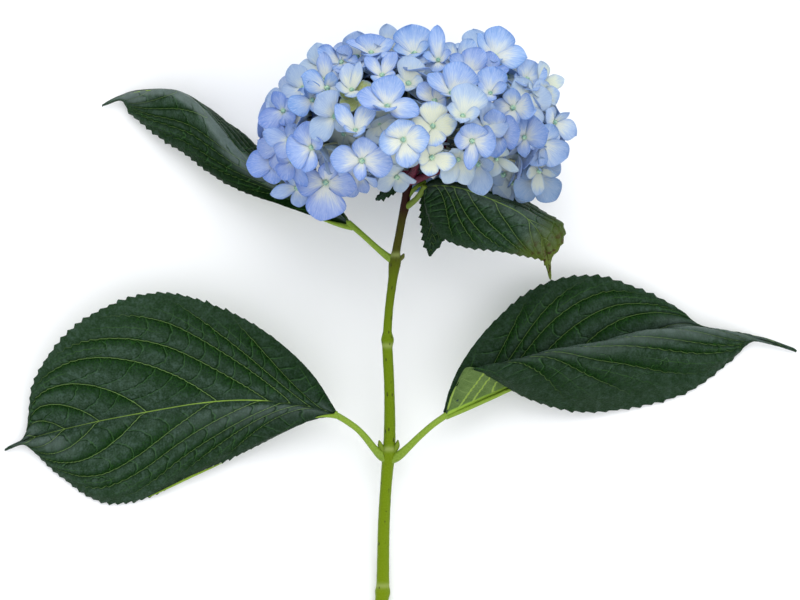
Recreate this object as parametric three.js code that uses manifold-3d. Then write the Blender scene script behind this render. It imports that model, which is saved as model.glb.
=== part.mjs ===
// A cut hydrangea shoot lying on a flat surface: a slanting stem, four large toothed leaves, two small
// ones and a broad mophead of many four-sepalled florets.
// Millimetres. +Z is up, +Y runs along the stem from its cut end to the head, +X is to the right seen
// from above. The origin is at the bottom centre of the whole shoot's box.
import * as THREE from 'three';
import Module from 'manifold-3d';

const wasm = await Module();
wasm.setup();

// ---- driving dimensions ----------------------------------------------------------------------------
const TOUCHING_GAP = 0.35;      // clear space kept between two pieces that touch
const BLADE_THICKNESS = 0.8;
const SEPAL_DROP = 1.15;          // between a sepal's two faces, along the floret's axis
const STEEPEST_SEPAL = 45;       // degrees; keeps a raised sepal thick enough
const TOOTH_DEPTH = 1.3;
const STEM_SIDES = 10;
const PETIOLE_SIDES = 8;
const BRANCH_SIDES = 6;
const BUD_SIDES = 6;

const HEAD = {
  centre: [5, 87.5, 60],
  halfWidth: 69,                // along X, measured to the florets' centres
  above: 46,                    // along +Y, the crown of the head
  below: 15,                    // along -Y, the underside round the neck
  up: 63,
  down: 56,
  fullness: 2.3,                // exponent of the rounded outline; 2 is an ellipsoid
  rimShare: 0.93,               // florets set past this share of the outline stay at its height
  core: { centre: [5, 98, 61], halfAxes: [42, 22, 38] },
  florets: 92,
  candidates: 2600,
  seed: 4711,
  layers: [-7, -2.5, 2],        // florets lie over and under each other, at three depths
  neckRadius: 17,               // bare round the stem
};

// Florets set by hand on the head's upper face: x, y, lift off the dome, lean of the facing along X and
// Y, turn of the first sepal, and four sepals [length, width, rise above the floret's plane, swing out
// of the cross]. Angles are in degrees.
const CHOSEN_FLORETS = [
  [-6, 104.5, 4, [0.05, 0.55], 80, [[15, 15.5, 35], [15.5, 13, 22], [12, 11, 45], [15.5, 12, 8, -8]]],
  [1.5, 89, 3, [0, -0.1], 100, [[10.5, 14.5, 25], [11.5, 12, 12], [13, 11.5, 5], [12.5, 13, 15]]],
  [-18, 79.5, 3, [0, -0.15], 85, [[12, 12, 18], [15, 13, 8], [10, 6, 30], [14.5, 14.5, 8]]],
  [-42, 86, 2, [-0.1, 0.05], 100, [[13, 13, 25], [12, 17, 10], [12.5, 9, 15, -20], [11, 7, 55, 10]]],
  [-36, 70.5, 6, [0, -0.1], 82, [[13, 9, 35], [15, 14, 8], [18.5, 19, 0], [15, 12, 8]]],
  [-19.5, 74, -2, [-0.25, -0.75], 30, [[14, 10, 30], [14, 10, 30], [13, 13, 35], [9, 8, 35]]],
  [-1.5, 73.5, -3, [0.1, -0.6], 20, [[12, 7, 45], [10, 10, 20], [11, 9, 20], [8, 8, 30]]],
  [-21, 93, 3, [0, 0.5], 45, [[15, 9, 28, 6], [15.5, 8, 28, -4], [9, 7, 50], [9, 7, 50]]],
  [-10, 97.5, -5, [0, -0.1], 70, [[11, 9, 15], [11, 9, 15], [11, 9, 15], [11, 9, 15]]],
  [15.5, 95.5, -1, [0, 0.2], 95, [[11.5, 13, 15], [11.5, 10.5, 15], [10.5, 12.5, 15], [11.5, 10.5, 15]]],
  [15, 81, 0, [0.1, -0.2], 80, [[9.5, 7.5, 20], [7.5, 8.5, 20], [8.5, 8.5, 10], [11.5, 9, 10]]],
  [29.5, 99.5, 9, [0.05, 0.6], 75, [[16, 17.5, 36], [9, 9, 35], [8.5, 9.5, 35], [9, 9, 35]]],
  [24.5, 111, 4, [-0.05, 0.5], 67, [[15.5, 17.5, 30], [14.5, 9, 27, -8], [10, 8, 50], [12, 10, 20]]],
  [34, 88.5, 5, [-0.1, -0.1], 85, [[10, 13, 35], [9, 9.5, 30], [13.5, 6.5, 10], [11.5, 15, 12]]],
  [43, 111.5, 3, [0.05, 0.55], 80, [[13, 14, 34], [8, 8, 40], [8, 8, 30], [10, 6, 45, 10]]],
  [54, 105, 4, [-0.35, 0.1], -8, [[13.5, 12.5, 22], [9.5, 8.5, 25], [10, 8, 15], [11.5, 10, 15]]],
  [59.5, 91, 4, [-0.4, 0], 8, [[16, 15.5, 25], [9, 11.5, 20], [8, 8, 20], [9.5, 6.5, 15]]],
  [69, 89.5, -2, [0.3, -0.1], 60, [[10, 10, 10], [10, 10, 10], [12, 13, 5], [14, 14, 5]]],
  [68.5, 112, 0, [0.3, 0], 15, [[9, 9, 20], [9, 9, 20], [8, 8, 20], [13, 9, 8]]],
  [75, 100, 0, [0.6, 0], 60, [[9.5, 4, 60], [9, 9, 20], [10, 10, 10], [13, 10, 10]]],
  [45.5, 131.5, 3, [0.15, 0.6], 80, [[15, 15, 38], [14, 9, 38, -25], [8, 8, 30], [16, 13, 15]]],
  [61.5, 120.5, 1, [0.35, 0.45], 25, [[11, 10, 20], [10, 13, 35], [8.5, 8.5, 20], [8.5, 8.5, 20]]],
  [7, 132.5, 4, [-0.05, 0.7], 95, [[14.5, 18.5, 44], [11, 9, 30], [9.5, 11.5, 35], [9.5, 7.5, 42]]],
  [18.5, 128.5, 4, [-0.2, 0.6], 88, [[17, 7.5, 40], [8, 6.5, 40], [8.5, 8.5, 10], [9, 7, 40]]],
  [-14, 133, 3, [0.05, 0.75], 90, [[9.5, 16, 50], [14, 8, 30], [8.5, 9.5, 30], [13, 9, 35]]],
  [-8.5, 120, 2, [0, 0.6], 55, [[13, 7, 32], [12, 7, 35], [8, 6.5, 30], [8, 6.5, 30]]],
  [4, 116, -1, [0, 0.55], 85, [[13.5, 13, 33], [7.5, 7.5, 30], [7.5, 7.5, 30], [7.5, 7.5, 30]]],
  [16.5, 107.5, -2.5, [-0.1, 0.4], 60, [[8.5, 7.5, 25], [11, 9, 25, -15], [8.5, 7.5, 25], [6.5, 6.5, 20]]],
  [-35, 114.5, 2, [0.35, 0.25], 75, [[8, 6.5, 30], [14, 12, 12], [9.5, 8.5, 15], [8, 6.5, 20]]],
  [-42, 109, 2, [0.3, 0.1], 20, [[8, 6.5, 30], [10, 8, 30], [14, 11, 15], [8, 6.5, 30]]],
  [-31, 100.5, 3, [0.25, -0.1], 45, [[9, 7, 30], [14.5, 14.5, 22], [15, 12, 5], [9, 8, 10]]],
  [-56.5, 105, 2, [0.1, 0], 30, [[7.5, 7.5, 20], [11, 7, 25], [13.5, 11, 12], [8.5, 8.5, 25]]],
  [-54, 111, -7, [-0.6, 0.2], 0, [[11.5, 11.5, 20], [12.5, 11, 10], [13, 11.5, 10], [11.5, 11.5, 10]]],
  [-53, 90, 1, [0, 0], 75, [[8.5, 7.5, 20], [13, 9, 10], [9.5, 8.5, 10, -15], [8, 8, 20]]],
  [-57.5, 88, -7, [-0.5, -0.1], 0, [[11.5, 11.5, 20], [11.5, 11.5, 20], [12.5, 10, 10], [12.5, 11, 10]]],
  [-61, 79.5, 0, [-0.15, 0], 0, [[8, 8, 20], [9, 9, 10], [13.5, 13, 5], [9.5, 9.5, 10]]],
  [-52, 80.5, 3, [0, -0.1], 60, [[9, 8, 20], [9.5, 6.5, 30], [10, 10, 10], [14, 6, 5, -30]]],
  [-50, 68.5, -2, [-0.1, -0.5], 5, [[9, 9, 20], [9.5, 8.5, 20], [13.5, 7, 25], [9.5, 8.5, 20]]],
  [-28.5, 128.5, 2, [0, 0.7], 65, [[9, 8, 38], [13, 11.5, 25], [9, 8, 20], [9, 8, 20]]],
  [-35.5, 119.5, 0, [-0.1, 0.6], 95, [[13, 7, 38], [8.5, 7.5, 20], [8.5, 7.5, 20], [8.5, 7.5, 20]]],
  [-38, 126.5, -3, [-0.25, 0.65], 100,
    [[13, 10.5, 30], [11.5, 11.5, 20], [11.5, 11.5, 20], [11.5, 11.5, 20]]],
  [-23, 113, 1, [0, 0.6], 100, [[13, 9, 35], [8.5, 7.5, 30], [8.5, 7.5, 30], [14, 5, 38, 60]]],
  [-20.5, 109, -5, [0, 0.3], 45, [[10, 9, 20], [10, 9, 20], [10, 9, 20], [10, 9, 20]]],
  [-47, 116, -3, [-0.2, 0.4], 115, [[12.5, 11, 30], [11, 11, 20], [11, 11, 20], [11, 11, 20]]],
  [40.5, 95, -2, [0.1, 0.4], 90, [[13.5, 8, 35], [10.5, 8.5, 20], [10.5, 10.5, 20], [11, 10, 20]]],
  [46, 93, -1, [-0.3, 0], 5, [[12.5, 16, 15], [11.5, 10.5, 25], [10.5, 10.5, 20], [12.5, 11, 20]]],
  [27.5, 80.5, -1, [0, -0.5], 25, [[8.5, 7.5, 30], [8.5, 7.5, 30], [13, 9, 30, 30], [13, 10, 30]]],
  [37, 78.5, 2, [0, -0.4], 10, [[8.5, 7.5, 30], [8.5, 7.5, 30], [9, 8, 30], [15, 12, 25]]],
  [46, 81, 0, [0, -0.5], -20, [[12, 5, 30], [9, 8, 20], [9, 8, 20], [9, 7, 20]]],
  [67.5, 76.5, 2, [0.2, -0.4], 0, [[9.5, 4, 45], [8, 6.5, 20], [8, 6.5, 30], [12.5, 6.5, 35, -10]]],
  [67, 73, -2, [0.2, -0.3], 40, [[13, 12, 10], [10, 10, 10], [14, 13, 10], [14, 14, 10]]],
  [50.5, 75, -7, [0.1, -0.4], 70, [[13, 13, 10], [13, 13, 10], [13, 13, 10], [13, 13, 10]]],
  [69.5, 117.5, -3, [0.5, 0.3], 20, [[11.5, 7, 20], [12.5, 8.5, 30], [11.5, 9, 20], [11.5, 7, 20]]],
  [28.5, 128, 0, [0, 0.7], 50, [[13, 10, 38], [12, 11, 38, 10], [8.5, 8.5, 20], [8.5, 8.5, 20]]],
  [33.5, 122.5, -3, [0, 0.6], 60, [[13, 13, 35], [12.5, 10, 35], [10.5, 10.5, 20], [10.5, 10.5, 20]]],
  [42, 122, -4, [0.1, 0.6], 80, [[11.5, 9, 35], [10.5, 8.5, 20], [10.5, 8.5, 20], [11.5, 7, 35]]],
  [-21, 131.5, -4, [0, 0.8], 90, [[13, 13, 50], [12.5, 11, 30], [11.5, 11.5, 20], [12.5, 11, 30]]],
  [-5.5, 136, -2, [0, 0.75], 95, [[12, 9, 42], [9, 9, 30], [9, 9, 20], [9, 9, 30]]],
  [-58, 102, -6, [-0.75, 0.1], 90,
    [[11.5, 11.5, 10], [11.5, 11.5, 10], [11.5, 11.5, 10], [11.5, 11.5, 10]]],
];

// Places where a leaf, a stalk or the stem passes the florets: x, y, z, radius kept clear.
const CLEARINGS = [
  [22, 71, 68, 13], [34, 70, 68, 15], [48, 66, 66, 15], [62, 60, 62, 13], [-38, 64, 33, 15],
  [-50, 72, 28, 16], [-62, 80, 24, 16], [-72, 90, 20, 15], [3, 62, 54, 18], [4, 57, 78, 17],
  [4, 57, 98, 16], [12, 72, 82, 18], [-14, 58, 55, 17], [-14, 58, 80, 17], [-28, 58, 80, 14],
  [-12, 66, 64, 14],
];

// Stem stations from the cut end to the neck: x, y, z, radius. The swellings are the leaf nodes.
const STEM = [
  [-9.8, -146.4, 3.6, 3.4], [-9.3, -140, 4.3, 3.4], [-8.9, -136, 4.8, 3.9], [-8.8, -132, 5.4, 3.3],
  [-8.6, -118, 8, 3.1], [-8.2, -100, 11, 3], [-7.2, -82, 15, 2.9], [-6.2, -70, 17.3, 3.1],
  [-5.7, -64.7, 18.4, 3.8], [-5.4, -60, 19.2, 3.1], [-5.2, -46, 21.6, 2.8], [-5.5, -28, 25, 2.6],
  [-6.3, -11, 29.4, 2.6], [-6.3, -6.5, 30.4, 3.2], [-6.3, -2, 31.2, 2.2], [-5.4, 10, 35, 2.1],
  [-3.6, 24, 40, 2.3], [-2.5, 33, 43.2, 3.1], [-1.9, 38, 44.6, 2.1], [-0.4, 46, 47.4, 2], [1, 53.7, 50, 2],
  [2.2, 59, 52, 2.3], [3, 64, 54, 2.2], [3.9, 71, 56.6, 2.4],
];

// Small buds on the stem's nodes: x, y, z, radius along each.
const STEM_BUDS = [
  [[-8.2, -63.5, 19.5, 1.3], [-9.8, -60.5, 20.6, 1.4], [-10.6, -57.6, 21.2, 0.4]],
  [[-3.0, -63.5, 19.5, 1.3], [-1.6, -60.5, 20.6, 1.4], [-1.0, -57.4, 21.2, 0.4]],
  [[-0.6, 33.5, 43.5, 1.2], [1.2, 35.0, 44.3, 1.1], [2.0, 36.6, 44.9, 0.4]],
];

// Petioles from the stem to the blade: x, y, z, radius.
const PETIOLES = {
  petiole_lower_left: [
    [-6.2, -67, 18, 2.9], [-9.5, -65.4, 19.4, 2.4], [-13.1, -61.6, 21.6, 1.9], [-17.6, -55.8, 24, 1.7],
    [-21.6, -51.6, 25, 1.6], [-27.4, -47.4, 25.6, 1.6], [-31.5, -45, 25.2, 1.6],
  ],
  petiole_lower_right: [
    [-5.2, -67.2, 18, 2.9], [-1.4, -65.9, 19.4, 2.4], [4.5, -60.7, 22.3, 1.9], [9.2, -56, 24, 1.7],
    [16.4, -49.6, 25.4, 1.6], [22, -45.6, 24.6, 1.6],
  ],
  petiole_upper_left: [
    [-2.8, 33.2, 43, 2.5], [-6, 35, 43.6, 1.9], [-11.4, 39.4, 43.8, 1.5], [-18, 45.4, 42.6, 1.4],
    [-24.4, 51, 40.2, 1.5],
  ],
  petiole_upper_right: [
    [1.6, 58.6, 50.6, 1.6], [3.8, 60.2, 53.2, 1.7], [6.2, 61.8, 56.6, 1.5], [8.8, 64.2, 60.8, 1.4],
    [10.7, 66.8, 64.2, 1.4], [11.7, 68.5, 65.8, 1.4],
  ],
  stalk_small_hanging: [
    [3.2, 63.8, 54, 1.4], [5.9, 67.2, 56, 1.1], [8.7, 69.8, 57, 1], [11.1, 71.2, 56.3, 1],
  ],
};

// Blades. Each line runs from base to tip. "near" is the half towards the cut end (-Y), "far" the other
// half; a "Middle" line says where the half's surface passes half way out, and where it is left out a
// "Dome" says how high the half arches over the straight line from midrib to margin. "smooth" is the
// share of the margin, from the base, that has no teeth.
const BLADES = {
  blade_lower_left: {
    rows: 36,
    keel: 1.3,
    smooth: 0.26,
    midrib: [
      [-32, -44.2, 25], [-50, -39.6, 23], [-76, -37.3, 18], [-100, -38.8, 14], [-131, -44, 10],
      [-161, -50, 7], [-191, -58, 3.8], [-203, -63.4, 2],
    ],
    nearMargin: [
      [-32.3, -45.4, 24.6], [-38, -45.6, 23], [-45, -47, 20.6], [-58, -53, 16], [-82, -65, 8],
      [-108, -76.5, 3], [-133, -88.4, 1.6], [-153, -89.6, 1.4], [-174, -76.5, 1.6], [-188, -63.8, 2.4],
      [-193, -60.6, 2.6], [-202.8, -63.9, 2],
    ],
    farMargin: [
      [-32.5, -42.4, 25.4], [-45, -23, 30], [-65, -4.6, 31], [-88, 8.2, 30], [-121, 16.8, 26],
      [-155, 6.4, 20], [-176.4, -12, 14], [-187.4, -31, 9], [-190, -47, 6], [-192.6, -57, 3.6],
      [-202.8, -62.8, 2],
    ],
    nearDome: 7,
    farDome: 3,
  },
  blade_lower_right: {
    rows: 36,
    keel: 1.2,
    smooth: 0.3,
    midrib: [
      [22.5, -44.6, 24], [38, -38, 22.4], [54, -31, 20.4], [81, -19.6, 16.4], [114, -9, 12], [138, -4.6, 9],
      [167, -3.6, 6], [185, -6.2, 4], [203.6, -12.6, 2],
    ],
    nearMargin: [
      [23.2, -45.6, 24.2], [28, -31, 31], [34, -20.5, 34], [45, -25, 32], [65, -36.2, 18], [92, -43.2, 7],
      [120, -41, 2.4], [148, -33, 1.4], [170, -16.8, 1.6], [180.6, -7.4, 2.6], [188, -7.8, 3],
      [203.4, -13, 2],
    ],
    nearMiddle: [
      [22.8, -44.4, 25], [31, -29.6, 32], [41, -21.6, 37], [54, -17.6, 38], [76, -13.4, 36.5],
      [98, -12.4, 32], [120, -8.4, 26], [147, -5.4, 18], [166, -5.2, 11], [179, -6.6, 6],
      [203.5, -12.8, 2.2],
    ],
    farMargin: [
      [22, -43, 24.2], [25.5, -31, 25], [31, -19, 25], [45, -0.4, 22], [70, 19.8, 17], [98, 25.4, 13],
      [126, 17, 10], [143, 8.2, 8], [152, 1, 7], [181, -4.8, 4.2], [203.5, -12.2, 2],
    ],
    farDome: 3,
  },
  blade_upper_left: {
    rows: 34,
    keel: 1,
    smooth: 0.42,
    midrib: [
      [-25.2, 51.7, 39.8], [-33, 57.6, 36], [-46.5, 63.6, 33], [-60, 70.7, 30.6], [-72, 79.5, 30],
      [-84, 90, 31], [-93.5, 101.5, 31], [-103, 113, 28], [-115, 120, 22], [-136, 119.4, 11],
      [-144, 116.9, 7], [-153, 113.2, 2.6],
    ],
    nearMargin: [
      [-25.2, 50.4, 39.4], [-35, 52.6, 35], [-46, 56.8, 31], [-58.5, 61.4, 27], [-72, 65.8, 23.6],
      [-86, 71.8, 20], [-97, 78.8, 17.5], [-108.5, 87.8, 14], [-121, 95.8, 10], [-131, 103.6, 7],
      [-138, 109.4, 5.4], [-142.4, 115.6, 5], [-152.8, 112.6, 2.4],
    ],
    farMargin: [
      [-25, 52.8, 39.6], [-31, 60.6, 33], [-42, 71, 25], [-58, 83, 14], [-73.5, 92.2, 6], [-80.4, 98.2, 5],
      [-89, 104.4, 3], [-97.4, 110.2, 2], [-105, 115, 2], [-116, 119, 1.8], [-134, 120.8, 2.6],
      [-144, 117.9, 4], [-152.8, 113.8, 2.6],
    ],
    nearDome: 3,
    farDome: 3,
  },
  blade_upper_right: {
    rows: 30,
    keel: 0.9,
    smooth: 0.1,
    midrib: [
      [12.2, 69, 66.4], [21, 69.4, 71.6], [29, 68.2, 74.8], [39, 64.8, 76.8], [50, 60.2, 76.6],
      [59.5, 55.4, 73.8], [67, 48.4, 68], [71, 41.2, 60], [73, 34, 52], [75, 23.5, 44],
    ],
    nearMargin: [
      [11.6, 67.4, 65.8], [13.6, 56.4, 61], [20, 45.6, 59.6], [31, 40.2, 61], [44, 38.6, 62.4],
      [57, 36.4, 61.6], [65.6, 34.8, 58], [70.8, 33.4, 53], [73, 29.4, 48], [74.6, 23.7, 44],
    ],
    farMargin: [
      [12.4, 70.6, 66], [20, 73, 63], [29, 73.8, 60.6], [46, 69.4, 58.4], [60, 63.6, 57], [72, 56.4, 56],
      [80, 51.2, 55.4], [81, 45.4, 54], [78.4, 38.8, 52.4], [75, 34.2, 50.4], [74.9, 29.4, 47.6],
      [75.4, 23.7, 44],
    ],
    nearDome: 3,
    farDome: 3,
  },
  blade_small_hanging: {
    rows: 10,
    keel: 0.5,
    smooth: 0.1,
    midrib: [[11.4, 71.2, 55.8], [13.2, 66, 52], [15, 57, 45.4], [16, 47, 39], [15, 35.4, 33]],
    nearMargin: [[10.6, 70.6, 55.6], [10.8, 64, 49.4], [10.8, 55, 43], [12, 44.5, 37], [14.5, 35.7, 33]],
    farMargin: [[12.6, 71, 55.8], [18.6, 65, 50], [23, 56.5, 42.6], [22, 45, 37.4], [15.6, 35.8, 33]],
    nearDome: 1,
    farDome: 1,
  },
  blade_small_neck: {
    rows: 6,
    keel: 0.4,
    smooth: 0.1,
    midrib: [[0.8, 69.6, 55], [-4, 68, 54.2], [-8, 66, 53], [-12, 63.2, 51]],
    nearMargin: [[0.8, 68.8, 54.8], [-4, 66, 53.8], [-8.4, 64, 52.4], [-11.8, 62.8, 51]],
    farMargin: [[0.8, 70.4, 54.8], [-3.6, 70, 53.8], [-7.6, 68, 52.4], [-12.2, 63.7, 51]],
    nearDome: 0.4,
    farDome: 0.4,
  },
};

// Branches of the flower head, from the stem's top towards the core: direction and length.
const BRANCHES = [
  [0, 1, 0, 13], [-0.75, 0.66, 0.1, 21], [0.75, 0.66, -0.1, 21], [0.1, 0.62, 0.78, 20],
  [-0.1, 0.62, -0.78, 20], [-0.5, 0.7, 0.5, 18], [0.5, 0.7, 0.5, 18],
];
const BRANCH_ROOT = [4.2, 73.2, 57.4];

const COLOURS = {
  stem: 0x6f8a18,
  petiole: 0x8ba83c,
  leaf: 0x2b4424,
  branch: 0x6a3038,
  sepal: 0x9db8de,
};

// ---- helpers ---------------------------------------------------------------------------------------
const DEGREE = Math.PI / 180;
const vec = (p) => new THREE.Vector3(p[0], p[1], p[2]);

// A repeatable stream of numbers between 0 and 1.
function makeRandom(seed) {
  let state = seed;
  return () => {
    state = (state * 16807) % 2147483647;
    return state / 2147483647;
  };
}

function solidOf(points, triangles) {
  const vertProperties = new Float32Array(points.flatMap((p) => [p.x, p.y, p.z]));
  const mesh = new wasm.Mesh({ numProp: 3, vertProperties, triVerts: new Uint32Array(triangles.flat()) });
  return new wasm.Manifold(mesh);
}

function solidOfGeometry(geometry) {
  const { position } = geometry.attributes;
  const places = new Map();
  const points = [];
  const indexOf = [];
  for (let i = 0; i < position.count; i += 1) {
    const point = new THREE.Vector3().fromBufferAttribute(position, i);
    const key = [point.x, point.y, point.z].map((value) => Math.round(value * 1e4)).join();
    if (!places.has(key)) {
      places.set(key, points.length);
      points.push(point);
    }
    indexOf.push(places.get(key));
  }
  const triangles = [];
  for (let i = 0; i < geometry.index.count; i += 3) {
    const corners = [0, 1, 2].map((k) => indexOf[geometry.index.getX(i + k)]);
    if (new Set(corners).size === 3) triangles.push(corners);
  }
  return solidOf(points, triangles);
}

// Cuts can leave loose scraps behind: the piece is the largest body.
function largestBody(solid) {
  return solid.decompose().reduce((a, b) => (a.volume() > b.volume() ? a : b));
}

function meshOf(name, solid, colour, roughness) {
  const { vertProperties, triVerts } = largestBody(solid).getMesh();
  const geometry = new THREE.BufferGeometry();
  geometry.setAttribute('position', new THREE.BufferAttribute(vertProperties, 3));
  geometry.setIndex(new THREE.BufferAttribute(triVerts, 1));
  geometry.computeVertexNormals();
  const material = new THREE.MeshStandardMaterial({ color: colour, roughness, metalness: 0 });
  const mesh = new THREE.Mesh(geometry, material);
  mesh.name = name;
  return mesh;
}

// ---- tubes: stem, petioles, branches ---------------------------------------------------------------
// A tapered tube through stations [x, y, z, radius], grown all over by an extra amount.
function tube(stations, sides, grow = 0, ringsPerStation = 2) {
  const path = new THREE.CatmullRomCurve3(stations.map(vec));
  const widths = new THREE.CatmullRomCurve3(stations.map((s) => new THREE.Vector3(s[3], 0, 0)));
  const steps = ringsPerStation * (stations.length - 1);
  const run = vec(stations.at(-1)).sub(vec(stations[0]));
  const reference = Math.abs(run.z) > 0.7 * run.length() ? vec([1, 0, 0]) : vec([0, 0, 1]);
  const points = [];
  const triangles = [];
  for (let i = 0; i <= steps; i += 1) {
    const t = i / steps;
    const along = path.getTangent(t);
    const side = new THREE.Vector3().crossVectors(along, reference).normalize();
    const top = new THREE.Vector3().crossVectors(side, along);
    const endShift = i === 0 ? -grow : i === steps ? grow : 0;
    const centre = path.getPoint(t).addScaledVector(along, endShift);
    const radius = widths.getPoint(t).x + grow;
    for (let k = 0; k < sides; k += 1) {
      const angle = (2 * Math.PI * k) / sides;
      points.push(centre.clone()
        .addScaledVector(side, radius * Math.cos(angle))
        .addScaledVector(top, radius * Math.sin(angle)));
    }
  }
  for (let i = 0; i < steps; i += 1) {
    for (let k = 0; k < sides; k += 1) {
      const a = i * sides + k;
      const b = i * sides + ((k + 1) % sides);
      triangles.push([a, b + sides, b], [a, a + sides, b + sides]);
    }
  }
  const last = steps * sides;
  for (let k = 1; k < sides - 1; k += 1) {
    triangles.push([0, k, k + 1], [last, last + k + 1, last + k]);
  }
  const solid = solidOf(points, triangles);
  return solid.volume() > 0 ? solid : solidOf(points, triangles.map(([a, b, c]) => [a, c, b]));
}

// ---- blades ----------------------------------------------------------------------------------------
const CELLS_PER_HALF = 3;
const TOOTHLESS_TIP = 0.88;

// Where the half's surface passes between midrib and margin, half way out.
function middleOf(middle, dome, t, rib, margin) {
  if (middle) return middle.getPointAt(t);
  const arch = dome * Math.sin(Math.PI * t) ** 0.7;
  return rib.clone().add(margin).multiplyScalar(0.5).add(vec([0, 0, arch]));
}

// A toothed blade: rows of points from near margin over the midrib to far margin, one face above and
// one below, split into triangles alike, with a keel under the midrib.
function blade(shape, grow = 0) {
  const curve = (line) => line && new THREE.CatmullRomCurve3(line.map(vec));
  const midrib = curve(shape.midrib);
  const halves = [
    { margin: curve(shape.nearMargin), middle: curve(shape.nearMiddle), dome: shape.nearDome },
    { margin: curve(shape.farMargin), middle: curve(shape.farMiddle), dome: shape.farDome },
  ];
  const across = 2 * CELLS_PER_HALF + 1;
  const surface = [];
  for (let i = 0; i <= shape.rows; i += 1) {
    const t = i / shape.rows;
    const rib = midrib.getPointAt(t);
    const forward = midrib.getTangentAt(t);
    const endShift = i === 0 ? -grow : i === shape.rows ? grow : 0;
    const toothed = i % 2 === 1 && t > shape.smooth && t < TOOTHLESS_TIP;
    const tooth = toothed ? TOOTH_DEPTH : 0;
    const row = [];
    halves.forEach(({ margin, middle, dome }, half) => {
      const edge = margin.getPointAt(t);
      const mid = middleOf(middle, dome, t, rib, edge);
      const outward = edge.clone().sub(mid).normalize();
      edge.addScaledVector(outward, tooth + grow);
      const control = mid.clone().multiplyScalar(2).addScaledVector(rib, -0.5).addScaledVector(edge, -0.5);
      const side = [];
      for (let k = 1; k <= CELLS_PER_HALF; k += 1) {
        const v = k / CELLS_PER_HALF;
        side.push(rib.clone().multiplyScalar((1 - v) ** 2)
          .addScaledVector(control, 2 * v * (1 - v))
          .addScaledVector(edge, v * v)
          .addScaledVector(forward, endShift));
      }
      if (half === 0) row.push(...side.reverse(), rib.clone().addScaledVector(forward, endShift));
      else row.push(...side);
    });
    surface.push(row);
  }

  const top = [];
  const bottom = [];
  surface.forEach((row, i) => row.forEach((point, k) => {
    const before = surface[Math.max(i - 1, 0)][k];
    const after = surface[Math.min(i + 1, shape.rows)][k];
    const lengthwise = after.clone().sub(before);
    const crosswise = row[Math.min(k + 1, across - 1)].clone().sub(row[Math.max(k - 1, 0)]);
    const normal = lengthwise.cross(crosswise).normalize();
    const half = BLADE_THICKNESS / 2 + grow;
    const keel = k === CELLS_PER_HALF ? shape.keel * (1 - i / shape.rows) : 0;
    top.push(point.clone().addScaledVector(normal, half));
    bottom.push(point.clone().addScaledVector(normal, -half - keel));
  }));

  const points = [...top, ...bottom];
  const under = top.length;
  const triangles = [];
  const quad = (a, b, c, d) => triangles.push([a, b, c], [a, c, d]);
  for (let i = 0; i < shape.rows; i += 1) {
    for (let k = 0; k < across - 1; k += 1) {
      const a = i * across + k;
      const c = a + across + 1;
      triangles.push([a, a + across, c], [a, c, a + 1]);
      triangles.push([a + under, c + under, a + across + under], [a + under, a + 1 + under, c + under]);
    }
    const near = i * across;
    const far = near + across - 1;
    quad(near, near + under, near + across + under, near + across);
    quad(far, far + across, far + across + under, far + under);
  }
  for (let k = 0; k < across - 1; k += 1) {
    const last = shape.rows * across + k;
    quad(k, k + 1, k + 1 + under, k + under);
    quad(last, last + under, last + 1 + under, last + 1);
  }
  const solid = solidOf(points, triangles);
  return solid.volume() > 0 ? solid : solidOf(points, triangles.map(([a, b, c]) => [a, c, b]));
}

// ---- flower head -----------------------------------------------------------------------------------
// A sepal ends in two shoulders, at a share of its length and of its width; the notch between two sepals
// lies where their sides meet.
const SHOULDER_REACH = 0.94;
const SHOULDER_SPREAD = 0.4;
const NOTCH_REACH = 0.58;
const RIM_POINTS = 12;
const BUD_RADIUS = 1.6;
const BUD_HEIGHT = 1.9;
const PEDICEL_RADIUS = 0.7;

// How far out a point is in the head's rounded outline: 1 is on the surface of florets.
function headTerms(offset) {
  const spans = [
    HEAD.halfWidth,
    offset[1] > 0 ? HEAD.above : HEAD.below,
    offset[2] > 0 ? HEAD.up : HEAD.down,
  ];
  return offset.map((value, i) => ({ ratio: Math.abs(value) / spans[i], span: spans[i] }));
}

function headNormal(offset) {
  const slope = headTerms(offset).map(({ ratio, span }, i) => (
    (Math.sign(offset[i]) * ratio ** (HEAD.fullness - 1)) / span));
  return vec(slope).normalize();
}

function onHead(direction) {
  const sum = headTerms(direction).reduce((total, { ratio }) => total + ratio ** HEAD.fullness, 0);
  return direction.map((value) => value / sum ** (1 / HEAD.fullness));
}

// How high the head's upper face lies over a chosen x and y; past the rim, its height at the rim.
function heightOver(x, y) {
  const flat = [x - HEAD.centre[0], y - HEAD.centre[1], 0];
  const sum = headTerms(flat).reduce((total, { ratio }) => total + ratio ** HEAD.fullness, 0);
  const rest = 1 - Math.min(sum, HEAD.rimShare);
  return HEAD.up * rest ** (1 / HEAD.fullness);
}

function isFree(offset) {
  const place = vec(offset).add(vec(HEAD.centre));
  const inNeck = offset[1] < 0 && Math.hypot(offset[0], offset[2]) < HEAD.neckRadius;
  return !inNeck && CLEARINGS.every((c) => place.distanceTo(vec(c)) > c[3]);
}

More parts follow.
